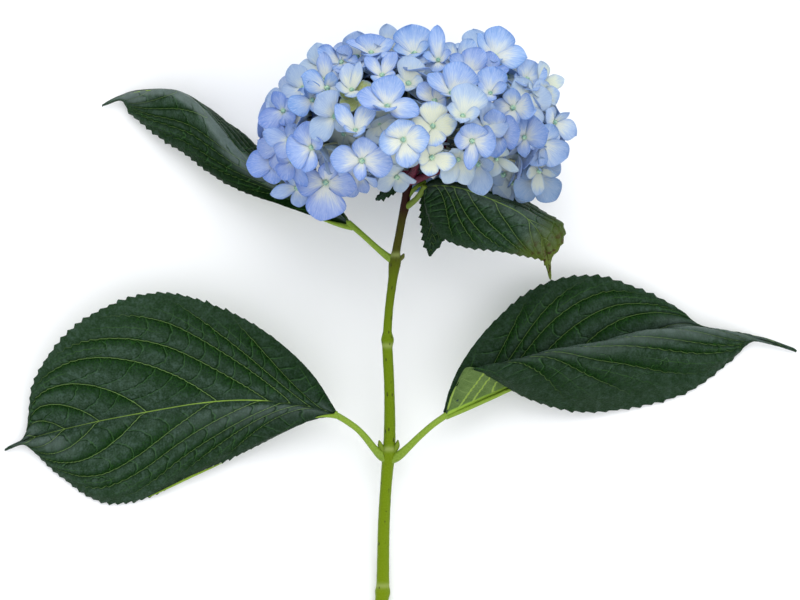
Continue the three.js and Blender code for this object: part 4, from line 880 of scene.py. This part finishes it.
def petiole_shape(reach, length, angle):
    """A shallow groove along the upper side."""
    groove = np.exp(-((np.mod(angle, 2 * np.pi) - np.pi / 2) / 0.45) ** 2)
    return reach * (1 - 0.14 * groove)


def make_petioles():
    skin = petiole_material()
    for name, stations in PETIOLES.items():
        line = np.array(stations, float)
        reach = unit(line[-1, :3] - line[-2, :3]) * PETIOLE_OVERLAP
        line = np.vstack([line, [*(line[-1, :3] + reach), line[-1, 3]]])
        points, faces, real = tube_mesh(line, 32, 90, petiole_shape)
        near_stem = np.exp(-np.linalg.norm(points - line[1, :3], axis=1) / 4)
        olive = 0.7 if name == "petiole_upper_right" else 0.35 * near_stem
        gathered = Gathered()
        gathered.add(points, faces, {"olive": olive}, {"real": real})
        gathered.piece(name + "_skin", skin, name, "petiole")


def make_branches(skin):
    gathered = Gathered()
    for *way, length in BRANCHES:
        reach = unit(np.array(way, float)) * length
        bend = BRANCH_ROOT + reach / 2 + (0, 1.5, 0)
        line = [(*BRANCH_ROOT, 2.2), (*bend, 1.4), (*(BRANCH_ROOT + reach), 1.1)]
        gathered.add_tube(line, 20, 30, pale=0.0)
    for line in BRANCHLETS:
        gathered.add_tube(line, 16, 60, pale=0.0)
    gathered.piece("cyme_branches", skin, "flower_branches", "branch")


# ---- leaves ----------------------------------------------------------------------------------------
BLADE_THICKNESS = 0.55
TOOTH_DEPTH = 1.35
TOOTH_PEAK = 0.82         # where a tooth is highest, as a share of its length
RUNG_SPACING = 5.2        # between the cross veins of a panel, along the side veins
RUNG_LEAN = 0.75          # how far a cross vein runs outwards on its way over a panel, per its width
WIDEST_PANEL = 13.0       # past this width a panel rises and leans no more
PANEL_RISE = 0.085        # how far a panel between two side veins stands up, per its width
QUILT_RISE = 0.26         # how far the leaf stands up between two cross veins
VEIN_DEPTH = 0.30         # how far a side vein is sunk, and then the midrib
MIDRIB_DEPTH = 0.6
CREST_FOLD = 0.035        # change of slope, per step across, that counts as a fold
DARK_TIP = 0.88           # share of a blade's length past which its underside is dark too
FLOOR_CLEARANCE = 0.8
SIZED_LENGTH = 170.0      # length of a blade whose relief has the full depth
TOOTH_SEED = 31


def tooth_profile(t, count, smooth, seed):
    """How far the toothed margin stands out: each tooth slopes up towards the tip and drops."""
    phase = t * count
    part = phase - np.floor(phase)
    rise = np.where(part < TOOTH_PEAK, part / TOOTH_PEAK, (1 - part) / (1 - TOOTH_PEAK))
    draw = make_random(seed)
    depth = np.array([0.6 + 0.8 * draw() for _ in range(count + 2)])[np.floor(phase).astype(int)]
    envelope = np.clip((t - smooth * 0.6) / (smooth * 0.7), 0.12, 1) * fade(t, 0.94, 0.89)
    return TOOTH_DEPTH * rise ** 1.25 * depth * envelope


def vein_place(t, wide, shift, stretch):
    """Where each point lies among the side veins, which are at the whole numbers."""
    starts, sweeps, bows = SIDE_VEINS.T
    place = np.empty((len(t), len(wide)))
    for k, out in enumerate(wide):
        lines = starts + shift * (1 - starts) + sweeps * stretch * out ** bows
        lines = np.concatenate([[lines[0] - 0.10 - 0.25 * out], lines, [1.06]])
        place[:, k] = np.interp(t, lines, np.arange(-1, len(starts) + 1))
    return place


def crests(grid, normal):
    """1 where the blade is folded outwards across its width, 0 where it is flat or hollow."""
    bend = grid[:, 2:] - 2 * grid[:, 1:-1] + grid[:, :-2]
    step = np.linalg.norm(grid[:, 2:] - grid[:, :-2], axis=2) / 2
    fold = np.pad(-(bend * normal[:, 1:-1]).sum(-1) / np.maximum(step, 0.2) ** 2, ((0, 0), (1, 1)))
    for _ in range(4):
        fold = (np.roll(fold, 1, 1) + 2 * fold + np.roll(fold, -1, 1)) / 4
    return np.clip(fold / CREST_FOLD - 0.9, 0, 1)


def blade_surface(shape, t, seed):
    """The blade's smooth middle surface with its toothed margins, and its midrib."""
    rib = along(shape["midrib"], t)
    v = np.linspace(0, 1, shape["cells"] + 1)[1:, None]
    halves = []
    for name, dome in zip(("near", "far"), shape["dome"]):
        edge = along(shape[name], t)
        if name + "Middle" in shape:
            middle = along(shape[name + "Middle"], t)
        else:
            middle = (rib + edge) / 2
            middle[:, 2] += dome * np.sin(np.pi * t) ** 0.7
        teeth = tooth_profile(t, shape["teeth"], shape["smooth"], seed + len(name))
        edge = edge + unit(edge - middle) * teeth[:, None]
        control = 2 * middle - 0.5 * rib - 0.5 * edge
        halves.append(
            (1 - v) ** 2 * rib[:, None] + 2 * v * (1 - v) * control[:, None] + v ** 2 * edge[:, None]
        )
    return np.concatenate([halves[0][:, ::-1], rib[:, None], halves[1]], axis=1), rib


def blade_grid(shape, seed):
    """The blade's middle surface with its fine relief, and what its materials read at each point."""
    t = np.linspace(0, 1, shape["rows"] + 1)
    grid, rib = blade_surface(shape, t, seed)
    signed = np.linspace(-1, 1, grid.shape[1])
    wide = np.abs(signed)
    across = lengths_along(grid, 1)
    across -= across[:, shape["cells"]][:, None]
    away = np.abs(across)
    down = lengths_along(rib)[:, None].repeat(grid.shape[1], 1)
    near_place, far_place = (
        vein_place(t, wide, shift, stretch) for shift, stretch in zip(shape["shift"], shape["stretch"])
    )
    place = np.where(signed < 0, near_place, far_place)
    part = place - np.floor(place)
    to_vein = 0.5 - np.abs(part - 0.5)

    strides = [np.maximum(np.linalg.norm(np.gradient(grid, axis=a), axis=2), 1e-3) for a in (0, 1)]

    def slope(per_row, per_column):
        """How fast a value changes over the surface."""
        return np.hypot(per_row / strides[0], 0.7 * per_column / strides[1])

    gap = np.clip(1 / np.maximum(slope(*np.gradient(place)), 1e-3), 1.0, 24.0)
    size = down[-1, 0] / SIZED_LENGTH
    spacing = RUNG_SPACING * size ** 0.5
    lean = RUNG_LEAN * np.minimum(gap, WIDEST_PANEL)
    rung = (away - lean * (1 - part) ** 1.5) / spacing
    rung_slope = slope(*(
        np.gradient(away, axis=a) + 1.5 * lean * (1 - part) ** 0.5 * np.gradient(place, axis=a)
        for a in (0, 1)
    ))

    inside = fade(away, 0, 5 * size) * fade(wide, 1, 0.90)
    puff = PANEL_RISE * np.minimum(gap, WIDEST_PANEL) * np.sin(np.pi * to_vein) * inside
    groove = -VEIN_DEPTH * size * np.exp(-(to_vein * gap / 0.5) ** 2) * inside
    channel = -MIDRIB_DEPTH * size * np.exp(-(across / size) ** 2)
    quilt = QUILT_RISE * size ** 0.5 * np.abs(np.sin(np.pi * (rung - 0.5))) ** 0.7 * inside
    quilt *= fade(to_vein * gap, 0, 1.5)
    normal = grid_normal(grid)
    if normal[..., 2].mean() < 0:
        normal = -normal
    coordinates = {
        "wide": wide[None].repeat(len(t), 0), "length": t[:, None].repeat(grid.shape[1], 1),
        "across": across, "down": down, "place": place, "gap": gap, "fold_sheen": crests(grid, normal),
        "spacing": np.full_like(down, spacing), "rung_gap": spacing / np.maximum(rung_slope, 0.1),
    }
    grid = grid + normal * (puff + groove + channel + quilt)[..., None]
    grid[..., 2] = np.maximum(grid[..., 2], FLOOR_CLEARANCE)
    return grid, coordinates


def make_blades():
    top = leaf_material("leaf_top", True)
    under = leaf_material("leaf_underside", False)
    rib_skin = petiole_material()
    for number, (name, own) in enumerate(BLADES.items()):
        shape = {**BLADE_DEFAULTS, **own}
        grid, coordinates = blade_grid(shape, TOOTH_SEED + 10 * number)
        points, faces, lower, rim = shell(grid, BLADE_THICKNESS)
        at = {key: np.concatenate([value.ravel()] * 2) for key, value in coordinates.items()}
        length = at["length"]
        normal = grid_normal(grid)
        faces_up = normal[..., 2].mean() > 0
        low = (lower if faces_up else 1 - lower) > 0.6
        low &= length[faces].mean(1) < DARK_TIP
        depth, reach = shape["dark"]
        rib = (1 - 0.8 * length) * fade(length - shape["hidden"], 0, 0.05) * fade(length, 0.96, 0.88)
        values = {
            **{key: at[key] for key in ("wide", "spacing", "rung_gap")},
            "yellow": fade(length, 0.60, 0.85) * (name == "blade_upper_right"),
            # painted highlight along folds
            "fold_sheen": at["fold_sheen"] * shape["fold_sheen"],
            # painted shade over the base, fading out at a share of the blade's length
            "dark": depth * fade(length, reach, 0.3 * reach),
            "rib": shape["rib"] * rib,
            "light": np.full(len(points), shape["light"]),
        }
        uvs = {
            "real": np.stack([at["across"], at["down"]], -1) / 100,
            "vein": np.stack([at["place"], at["gap"] / 10], -1),
        }
        mesh_piece(name + "_leaf", points, faces, [top, under], name, uvs, values, low, rim)
        upward = normal[:, shape["cells"]] * (1 if faces_up else -1)
        make_under_rib(name, grid[:, shape["cells"]], upward, shape["keel"], rib_skin)
    for name, line in ROLLED_EDGES:
        rib_piece(name + "_rolled_edge", line, 12, 60, rib_skin, name)


def rib_piece(name, line, sides, rings, skin, node):
    """A plain tapered rib as a piece of its own."""
    gathered = Gathered()
    gathered.add_tube(line, sides, rings, olive=0.0)
    gathered.piece(name, skin, node, "petiole")


def make_under_rib(name, middle, upward, reach, skin):
    """The midrib's rounded keel on the underside, fading towards the tip."""
    rows = np.linspace(0, reach * (len(middle) - 1), 24).astype(int)
    share = rows / rows[-1]
    radius = (lengths_along(middle)[-1] / SIZED_LENGTH) ** 0.5 * (0.3 + 0.75 * (1 - share) ** 0.8)
    line = middle[rows] - upward[rows] * (0.85 * radius + 0.2)[:, None]
    line[:, 2] = np.maximum(line[:, 2], radius + 0.2)
    rib_piece(name + "_midrib", np.column_stack([line, radius]), 16, 90, skin, name)


# ---- flower head -----------------------------------------------------------------------------------
SEPAL_THICKNESS = 0.34
SEPAL_FOOT = 0.4          # how far from a floret's centre its sepals start
INNER_FLORETS = 130
OUTER_GAPS = 26           # the widest gaps, whose florets lie less deep
OUTER_CELLS = (14, 10)    # faces along and across a sepal
INNER_CELLS = (9, 6)
HEAD_PARTS = (-20, 25)    # x, from the head's centre, where its left, middle and right florets part
SHAPE_SEED = 90210


def head_terms(offset):
    """Each coordinate as a share of the head's half axis on its side, and that half axis."""
    spans = (
        HEAD_HALF_WIDTH,
        HEAD_ABOVE if offset[1] > 0 else HEAD_BELOW,
        HEAD_UP if offset[2] > 0 else HEAD_DOWN,
    )
    return [(abs(value) / span, span) for value, span in zip(offset, spans)]


def fullness_sum(offset):
    """1 on the head's outline, less inside it."""
    return sum(ratio ** HEAD_FULLNESS for ratio, _ in head_terms(offset))


def head_normal(offset):
    """The way out of the head at a point on its outline."""
    slope = [
        math.copysign(ratio ** (HEAD_FULLNESS - 1) / span, value) if value else 0.0
        for value, (ratio, span) in zip(offset, head_terms(offset))
    ]
    return unit(np.array(slope))


def on_head(direction):
    """The point of the head's outline that lies this way from its centre."""
    return np.array(direction) / fullness_sum(direction) ** (1 / HEAD_FULLNESS)


def height_over(x, y):
    """How high the head's upper face lies over a chosen x and y; past the rim, its height at the rim."""
    total = fullness_sum((x - HEAD_CENTRE[0], y - HEAD_CENTRE[1], 0.0))
    return HEAD_UP * (1 - min(total, RIM_SHARE)) ** (1 / HEAD_FULLNESS)


def shoulder_part(offset):
    """1 on the head's upper outer slopes, fading to 0 towards the middle of its upper side."""
    out = math.hypot(offset[0] / HEAD_HALF_WIDTH, offset[1] / HEAD_ABOVE)
    return float(fade(out, 0.5, 0.75)) if offset[2] > -10 else 0.0


def is_free(offset):
    """Whether a floret here keeps clear of the neck, the leaves and the stalks."""
    in_neck = offset[1] < 0 and math.hypot(offset[0], offset[2]) < NECK_RADIUS
    away = np.linalg.norm(CLEARINGS[:, :3] - (offset + HEAD_CENTRE), axis=1)
    return not in_neck and bool((away > CLEARINGS[:, 3]).all())


def chosen_place(x, y, lift, lean, turn, sepals, look):
    """A floret given in the table: its row of the table, worked out."""
    offset = np.array([x, y, 0.0]) - HEAD_CENTRE
    offset[2] = height_over(x, y)
    return {
        "offset": offset, "lift": lift, "centre": HEAD_CENTRE + offset + (0, 0, lift),
        "facing": np.array([*lean, math.sqrt(1 - lean[0] ** 2 - lean[1] ** 2)]),
        "turn": math.radians(turn), "sepals": sepals, "look": look,
    }


def floret_places(draw):
    """The florets' places, as in the CAD source, then extra ones in the gaps between them."""
    places = [chosen_place(*row) for row in CHOSEN_FLORETS]
    free = []
    for _ in range(CANDIDATES):
        height = 2 * draw() - 1
        turn = 2 * math.pi * draw()
        ring = math.sqrt(1 - height * height)
        offset = on_head((ring * math.cos(turn), height, ring * math.sin(turn)))
        if is_free(offset):
            free.append(offset)
    free = np.array(free)
    nearest = np.min([np.linalg.norm(free - place["offset"], axis=1) for place in places], axis=0)
    gaps = []
    while len(gaps) < INNER_FLORETS:
        offset = free[int(np.argmax(nearest))]
        if len(places) < FLORETS:
            places.append({"offset": offset, "size": 14.5 + 3 * draw()})
        else:
            gaps.append({"offset": offset})
        nearest = np.minimum(nearest, np.linalg.norm(free - offset, axis=1))
    return places, gaps


def give_layers(places):
    """Gives each floret that has no lift the depth that is least crowded round it."""
    for i, place in enumerate(places):
        if "lift" in place:
            continue
        crowd = []
        for depth in LAYERS:
            others = [o for o in places[:i] if o.get("depth") == depth]
            away = [np.linalg.norm(place["offset"] - o["offset"]) for o in others]
            crowd.append(sum(max(0.0, 30 - a) for a in away))
        place["depth"] = LAYERS[crowd.index(min(crowd))]


def finish_place(place, draw, shapes):
    """Gives a floret its centre, its facing and its sepals, drawn as in the CAD source."""
    normal = head_normal(place["offset"])
    place["centre"] = HEAD_CENTRE + place["offset"] + normal * place["depth"]
    lean = np.array([draw() - 0.5, draw() - 0.5, draw() - 0.5])
    place["facing"] = unit(normal + lean * 0.3)
    place["turn"] = 2 * math.pi * draw()
    draw()      # the CAD source draws once more for each floret
    place["sepals"] = random_sepals(place["size"], shapes)
    place["look"] = (0.15 + 0.5 * shapes(), 0.15 + 0.6 * shapes(), 0.1 * shapes())


def random_sepals(size, shapes):
    """Four sepals of about one length, more or less open."""
    openness = shapes()
    sepals = []
    for _ in range(4):
        length = size * (0.84 + 0.26 * shapes())
        width = length * (0.92 + 0.28 * shapes())
        sepals.append((length, width, 4 + 26 * openness + 14 * (shapes() - 0.5), 14 * (shapes() - 0.5)))
    return sepals


def sepal(length, width, rise, draw, rows, cols):
    """One sepal's middle surface in (outward, sideways, up), its (across, along) coordinates, and how far
    each column is from the middle."""
    curl = math.radians(-26 + 44 * draw())
    cup = 0.04 + 0.26 * draw()
    roll = 0.07 + 0.05 * draw()
    wave = 0.02 + 0.06 * draw()
    phase = 6.28 * draw()
    full = 1.22 + 0.26 * draw()
    skew = 0.2 * (draw() - 0.5)
    step = np.linspace(0, 1, rows + 1)
    a = (0.35 * step + 0.65 * 0.5 * (1 - np.cos(np.pi * step)))[:, None]
    slope = math.radians(rise) + curl * (a - 0.5)
    stride = np.diff(a, prepend=0, axis=0)
    out = SEPAL_FOOT + length * np.cumsum(np.cos(slope) * stride, axis=0)
    up = length * np.cumsum(np.sin(slope) * stride, axis=0)
    # narrow at the foot, widest past the middle, with a blunt tip
    blade = np.sin(np.pi * np.clip(a, 0, 1) ** full) ** (0.95 - 0.22 * full + 0.6 * abs(skew))
    half = width / 2 * blade + length * 0.09 * (1 - a) ** 2 + 0.06
    b = np.linspace(-1, 1, cols + 1)
    side = half * b + skew * width * np.sin(np.pi * a) ** 2
    ripple = np.sin(phase + 6.0 * a + 1.3 * np.sign(b)) * np.abs(b) ** 2.5
    lift = cup * np.clip(a / 0.6, 0.15, 1) * half * b ** 2 + wave * length * ripple * a + roll * half * b
    grid = np.stack([out - np.sin(slope) * lift, side, up + np.cos(slope) * lift], -1)
    return grid, np.stack(np.broadcast_arrays(side / length, a), -1), np.abs(b)


def add_floret(gathered, buds, place, draw, cells):
    """Four overlapping sepals round a small bud."""
    up = Vector((0, 0, 1))
    pose = up.rotation_difference(Vector(place["facing"])) @ Quaternion(up, place["turn"])
    matrix = np.array(pose.to_matrix())
    x, y, _ = place["centre"]
    pale, violet, grey = place["look"]
    # florets on the left run to deeper blue and those at the top to lighter blue: partly their own tone,
    # partly painted shade on the left and painted light on top
    pale -= 0.3 * fade(x, -30, -60)
    violet -= 0.15 * fade(y, 95, 125)
    # painted shade over the head's lower right, added to what a deep floret already carries
    painted_shade = place.get("painted_shade", 0) + 0.45 * fade(x, 18, 58) * fade(y, 98, 73)
    for k, (length, width, rise, *swing) in enumerate(place["sepals"]):
        grid, petal, off_middle = sepal(length, width, rise, draw, *cells)
        azimuth = k * math.pi / 2 + math.radians(swing[0] if swing else 0)
        spin = np.array([
            [math.cos(azimuth), -math.sin(azimuth), 0],
            [math.sin(azimuth), math.cos(azimuth), 0],
            [0, 0, 1],
        ])
        grid = grid @ (matrix @ spin).T + place["centre"]
        grid[..., 2] = np.maximum(grid[..., 2], FLOOR_CLEARANCE)
        points, faces, _, rim = shell(grid, SEPAL_THICKNESS)
        cross = np.stack(np.broadcast_arrays(off_middle, petal[..., 1]), -1)
        values = {
            "pale": pale + 0.16 * (draw() - 0.5),
            "violet": violet + 0.2 * (draw() - 0.5),
            "grey": grey,
            "painted_shade": painted_shade,
            "seed": 40 * draw(),
            "under": np.repeat([0.0, 1.0], len(points) // 2),
        }
        uvs = {name: np.tile(uv.reshape(-1, 2), (2, 1)) for name, uv in (("petal", petal), ("cross", cross))}
        gathered.add(points, faces, values, uvs, rim)
    shown = max(length for length, *_ in place["sepals"]) > 10.5
    add_bud(buds, place["centre"], matrix, (1.15 if shown else 0.7) + 0.3 * draw())


def add_bud(buds, centre, matrix, radius):
    """A four-lobed bud a little above the sepals."""
    turns, rings = 16, 8
    around = 2 * np.pi * np.arange(turns) / turns
    polar = np.pi * (np.arange(rings + 1) / rings)[:, None]
    polar[0], polar[-1] = 0.03, np.pi - 0.03
    lobes = radius * (1 + 0.14 * np.cos(4 * around)) * np.sin(polar)
    height = radius * (0.9 * np.cos(polar) + 0.55)
    ball = np.stack(np.broadcast_arrays(lobes * np.cos(around), lobes * np.sin(around), height), -1)
    buds.add(ball.reshape(-1, 3) @ matrix.T + centre, ring_faces(rings + 1, turns))


def inner_floret(gap, number, shapes):
    """Fills a gap with a floret that lies deep between the others, less so on the shoulders."""
    normal = head_normal(gap["offset"])
    shoulder = shoulder_part(gap["offset"])
    depth = (7 if number < OUTER_GAPS else 11) - 5 * shoulder
    outward = unit(gap["offset"] * (1, 1, 0)) * shoulder
    lean = np.array([shapes(), shapes(), shapes()]) - 0.5
    return {
        "centre": HEAD_CENTRE + gap["offset"] - normal * (depth + 5 * shapes()),
        "facing": unit(normal + 0.5 * lean + outward),
        "turn": 6.28 * shapes(),
        "sepals": random_sepals(12 + 3 * shapes() + 2 * shoulder, shapes),
        "look": (0.35 + 0.5 * shapes(), 0.2 + 0.4 * shapes(), (0.35 + 0.3 * shapes()) * (1 - shoulder)),
        # painted shade on florets deep between the others, less on the shoulders
        "painted_shade": 0.3 * (1 - shoulder),
    }


def make_head():
    skin = sepal_material()
    bud_skin = bud_material()
    stalk_skin = branch_material()
    draw = make_random(SEED)
    places, gaps = floret_places(draw)
    give_layers(places)
    places += [chosen_place(*row) for row in GAP_FLORETS]
    shapes = make_random(SHAPE_SEED)
    groups = {"florets_left": Gathered(), "florets_middle": Gathered(), "florets_right": Gathered()}
    buds, stalks, inner = Gathered(), Gathered(), Gathered()
    for place in places:
        if "lift" not in place:
            finish_place(place, draw, shapes)
        across = place["offset"][0]
        key = list(groups)[sum(across > edge for edge in HEAD_PARTS)]
        add_floret(groups[key], buds, place, shapes, OUTER_CELLS)
        centre = place["centre"]
        root = centre + (CORE_CENTRE - centre) * 0.6
        middle = (centre + root) / 2 + (0, 2.0 * (shapes() - 0.5), 2.0 * (shapes() - 0.5))
        line = [(*(centre - place["facing"] * 0.5), 0.55), (*middle, 0.6), (*root, 0.8)]
        stalks.add_tube(line, 8, 10, pale=0.75)
    for key, gathered in groups.items():
        gathered.piece(key, skin, "flower_head", "sepal")
    for number, gap in enumerate(gaps):
        add_floret(inner, buds, inner_floret(gap, number, shapes), shapes, INNER_CELLS)
    inner.piece("florets_inner", skin, "flower_head", "sepal")
    buds.piece("floret_buds", bud_skin, "flower_head", "sepal")
    stalks.piece("pedicels", stalk_skin, "flower_head", "branch")
    make_core()
    make_branches(stalk_skin)


def make_core():
    """The crowded heart of the head, which the florets hide."""
    turns, rings = 64, 40
    around = 2 * np.pi * np.arange(turns) / turns
    polar = np.linspace(0.01, np.pi - 0.01, rings + 1)[:, None]
    way = np.broadcast_arrays(np.sin(polar) * np.cos(around), np.cos(polar), np.sin(polar) * np.sin(around))
    lumps = 0.92 + 0.05 * np.sin(9 * around) * np.sin(8 * polar)
    ball = CORE_CENTRE + np.stack(way, -1) * CORE_HALF_AXES * lumps[..., None]
    outward = ring_faces(rings + 1, turns)[:, [0, 3, 2, 1]]
    mesh_piece("head_core", ball.reshape(-1, 3), outward, [core_material()], "flower_head")


# ---- stage, light, camera --------------------------------------------------------------------------
LAMPS = {                 # place, size and power of each, in metres and watts
    "key": ((0.1, 1.0, 1.4), 1.3, 9.5),
    "fill": ((0.9, -0.6, 1.2), 1.2, 2.5),
}
LAMP_TARGET = (0, 0.02, 0.03)
CAMERA_PLACE = (0, 13.5 * MM, 1.5)
CAMERA_SENSOR = 36
FOCAL_SHARE = 1460 / 400  # the lens, as a share of the sensor's width


def make_stage():
    bpy.ops.mesh.primitive_plane_add(size=6.0, location=(0, 0, -0.0002))
    floor = bpy.context.object
    floor.name = "floor"
    floor.data.materials.append(Shader("floor_white").surface((0.97, 0.97, 0.97, 1), 0.9))


def make_lights():
    world = bpy.data.worlds.new("studio")
    bpy.context.scene.world = world
    world.use_nodes = True
    world.node_tree.nodes["Background"].inputs["Color"].default_value = (0.95, 0.97, 1.0, 1)
    world.node_tree.nodes["Background"].inputs["Strength"].default_value = 1.08
    for name, (location, size, power) in LAMPS.items():
        light = bpy.data.lights.new(name, "AREA")
        light.shape = "DISK"
        light.size = size
        light.energy = power
        lamp = bpy.data.objects.new(name, light)
        lamp.location = location
        way = Vector(LAMP_TARGET) - Vector(location)
        lamp.rotation_euler = way.to_track_quat("-Z", "Y").to_euler()
        bpy.context.scene.collection.objects.link(lamp)


def make_camera():
    camera = bpy.data.cameras.new("camera")
    camera.sensor_width = CAMERA_SENSOR
    camera.lens = CAMERA_SENSOR * FOCAL_SHARE
    camera.clip_end = 20
    view = bpy.data.objects.new("camera", camera)
    view.location = CAMERA_PLACE
    bpy.context.scene.collection.objects.link(view)
    bpy.context.scene.camera = view


make_stem()
make_petioles()
make_blades()
make_head()
make_stage()
make_lights()
make_camera()
bpy.context.scene.view_settings.view_transform = "Standard"
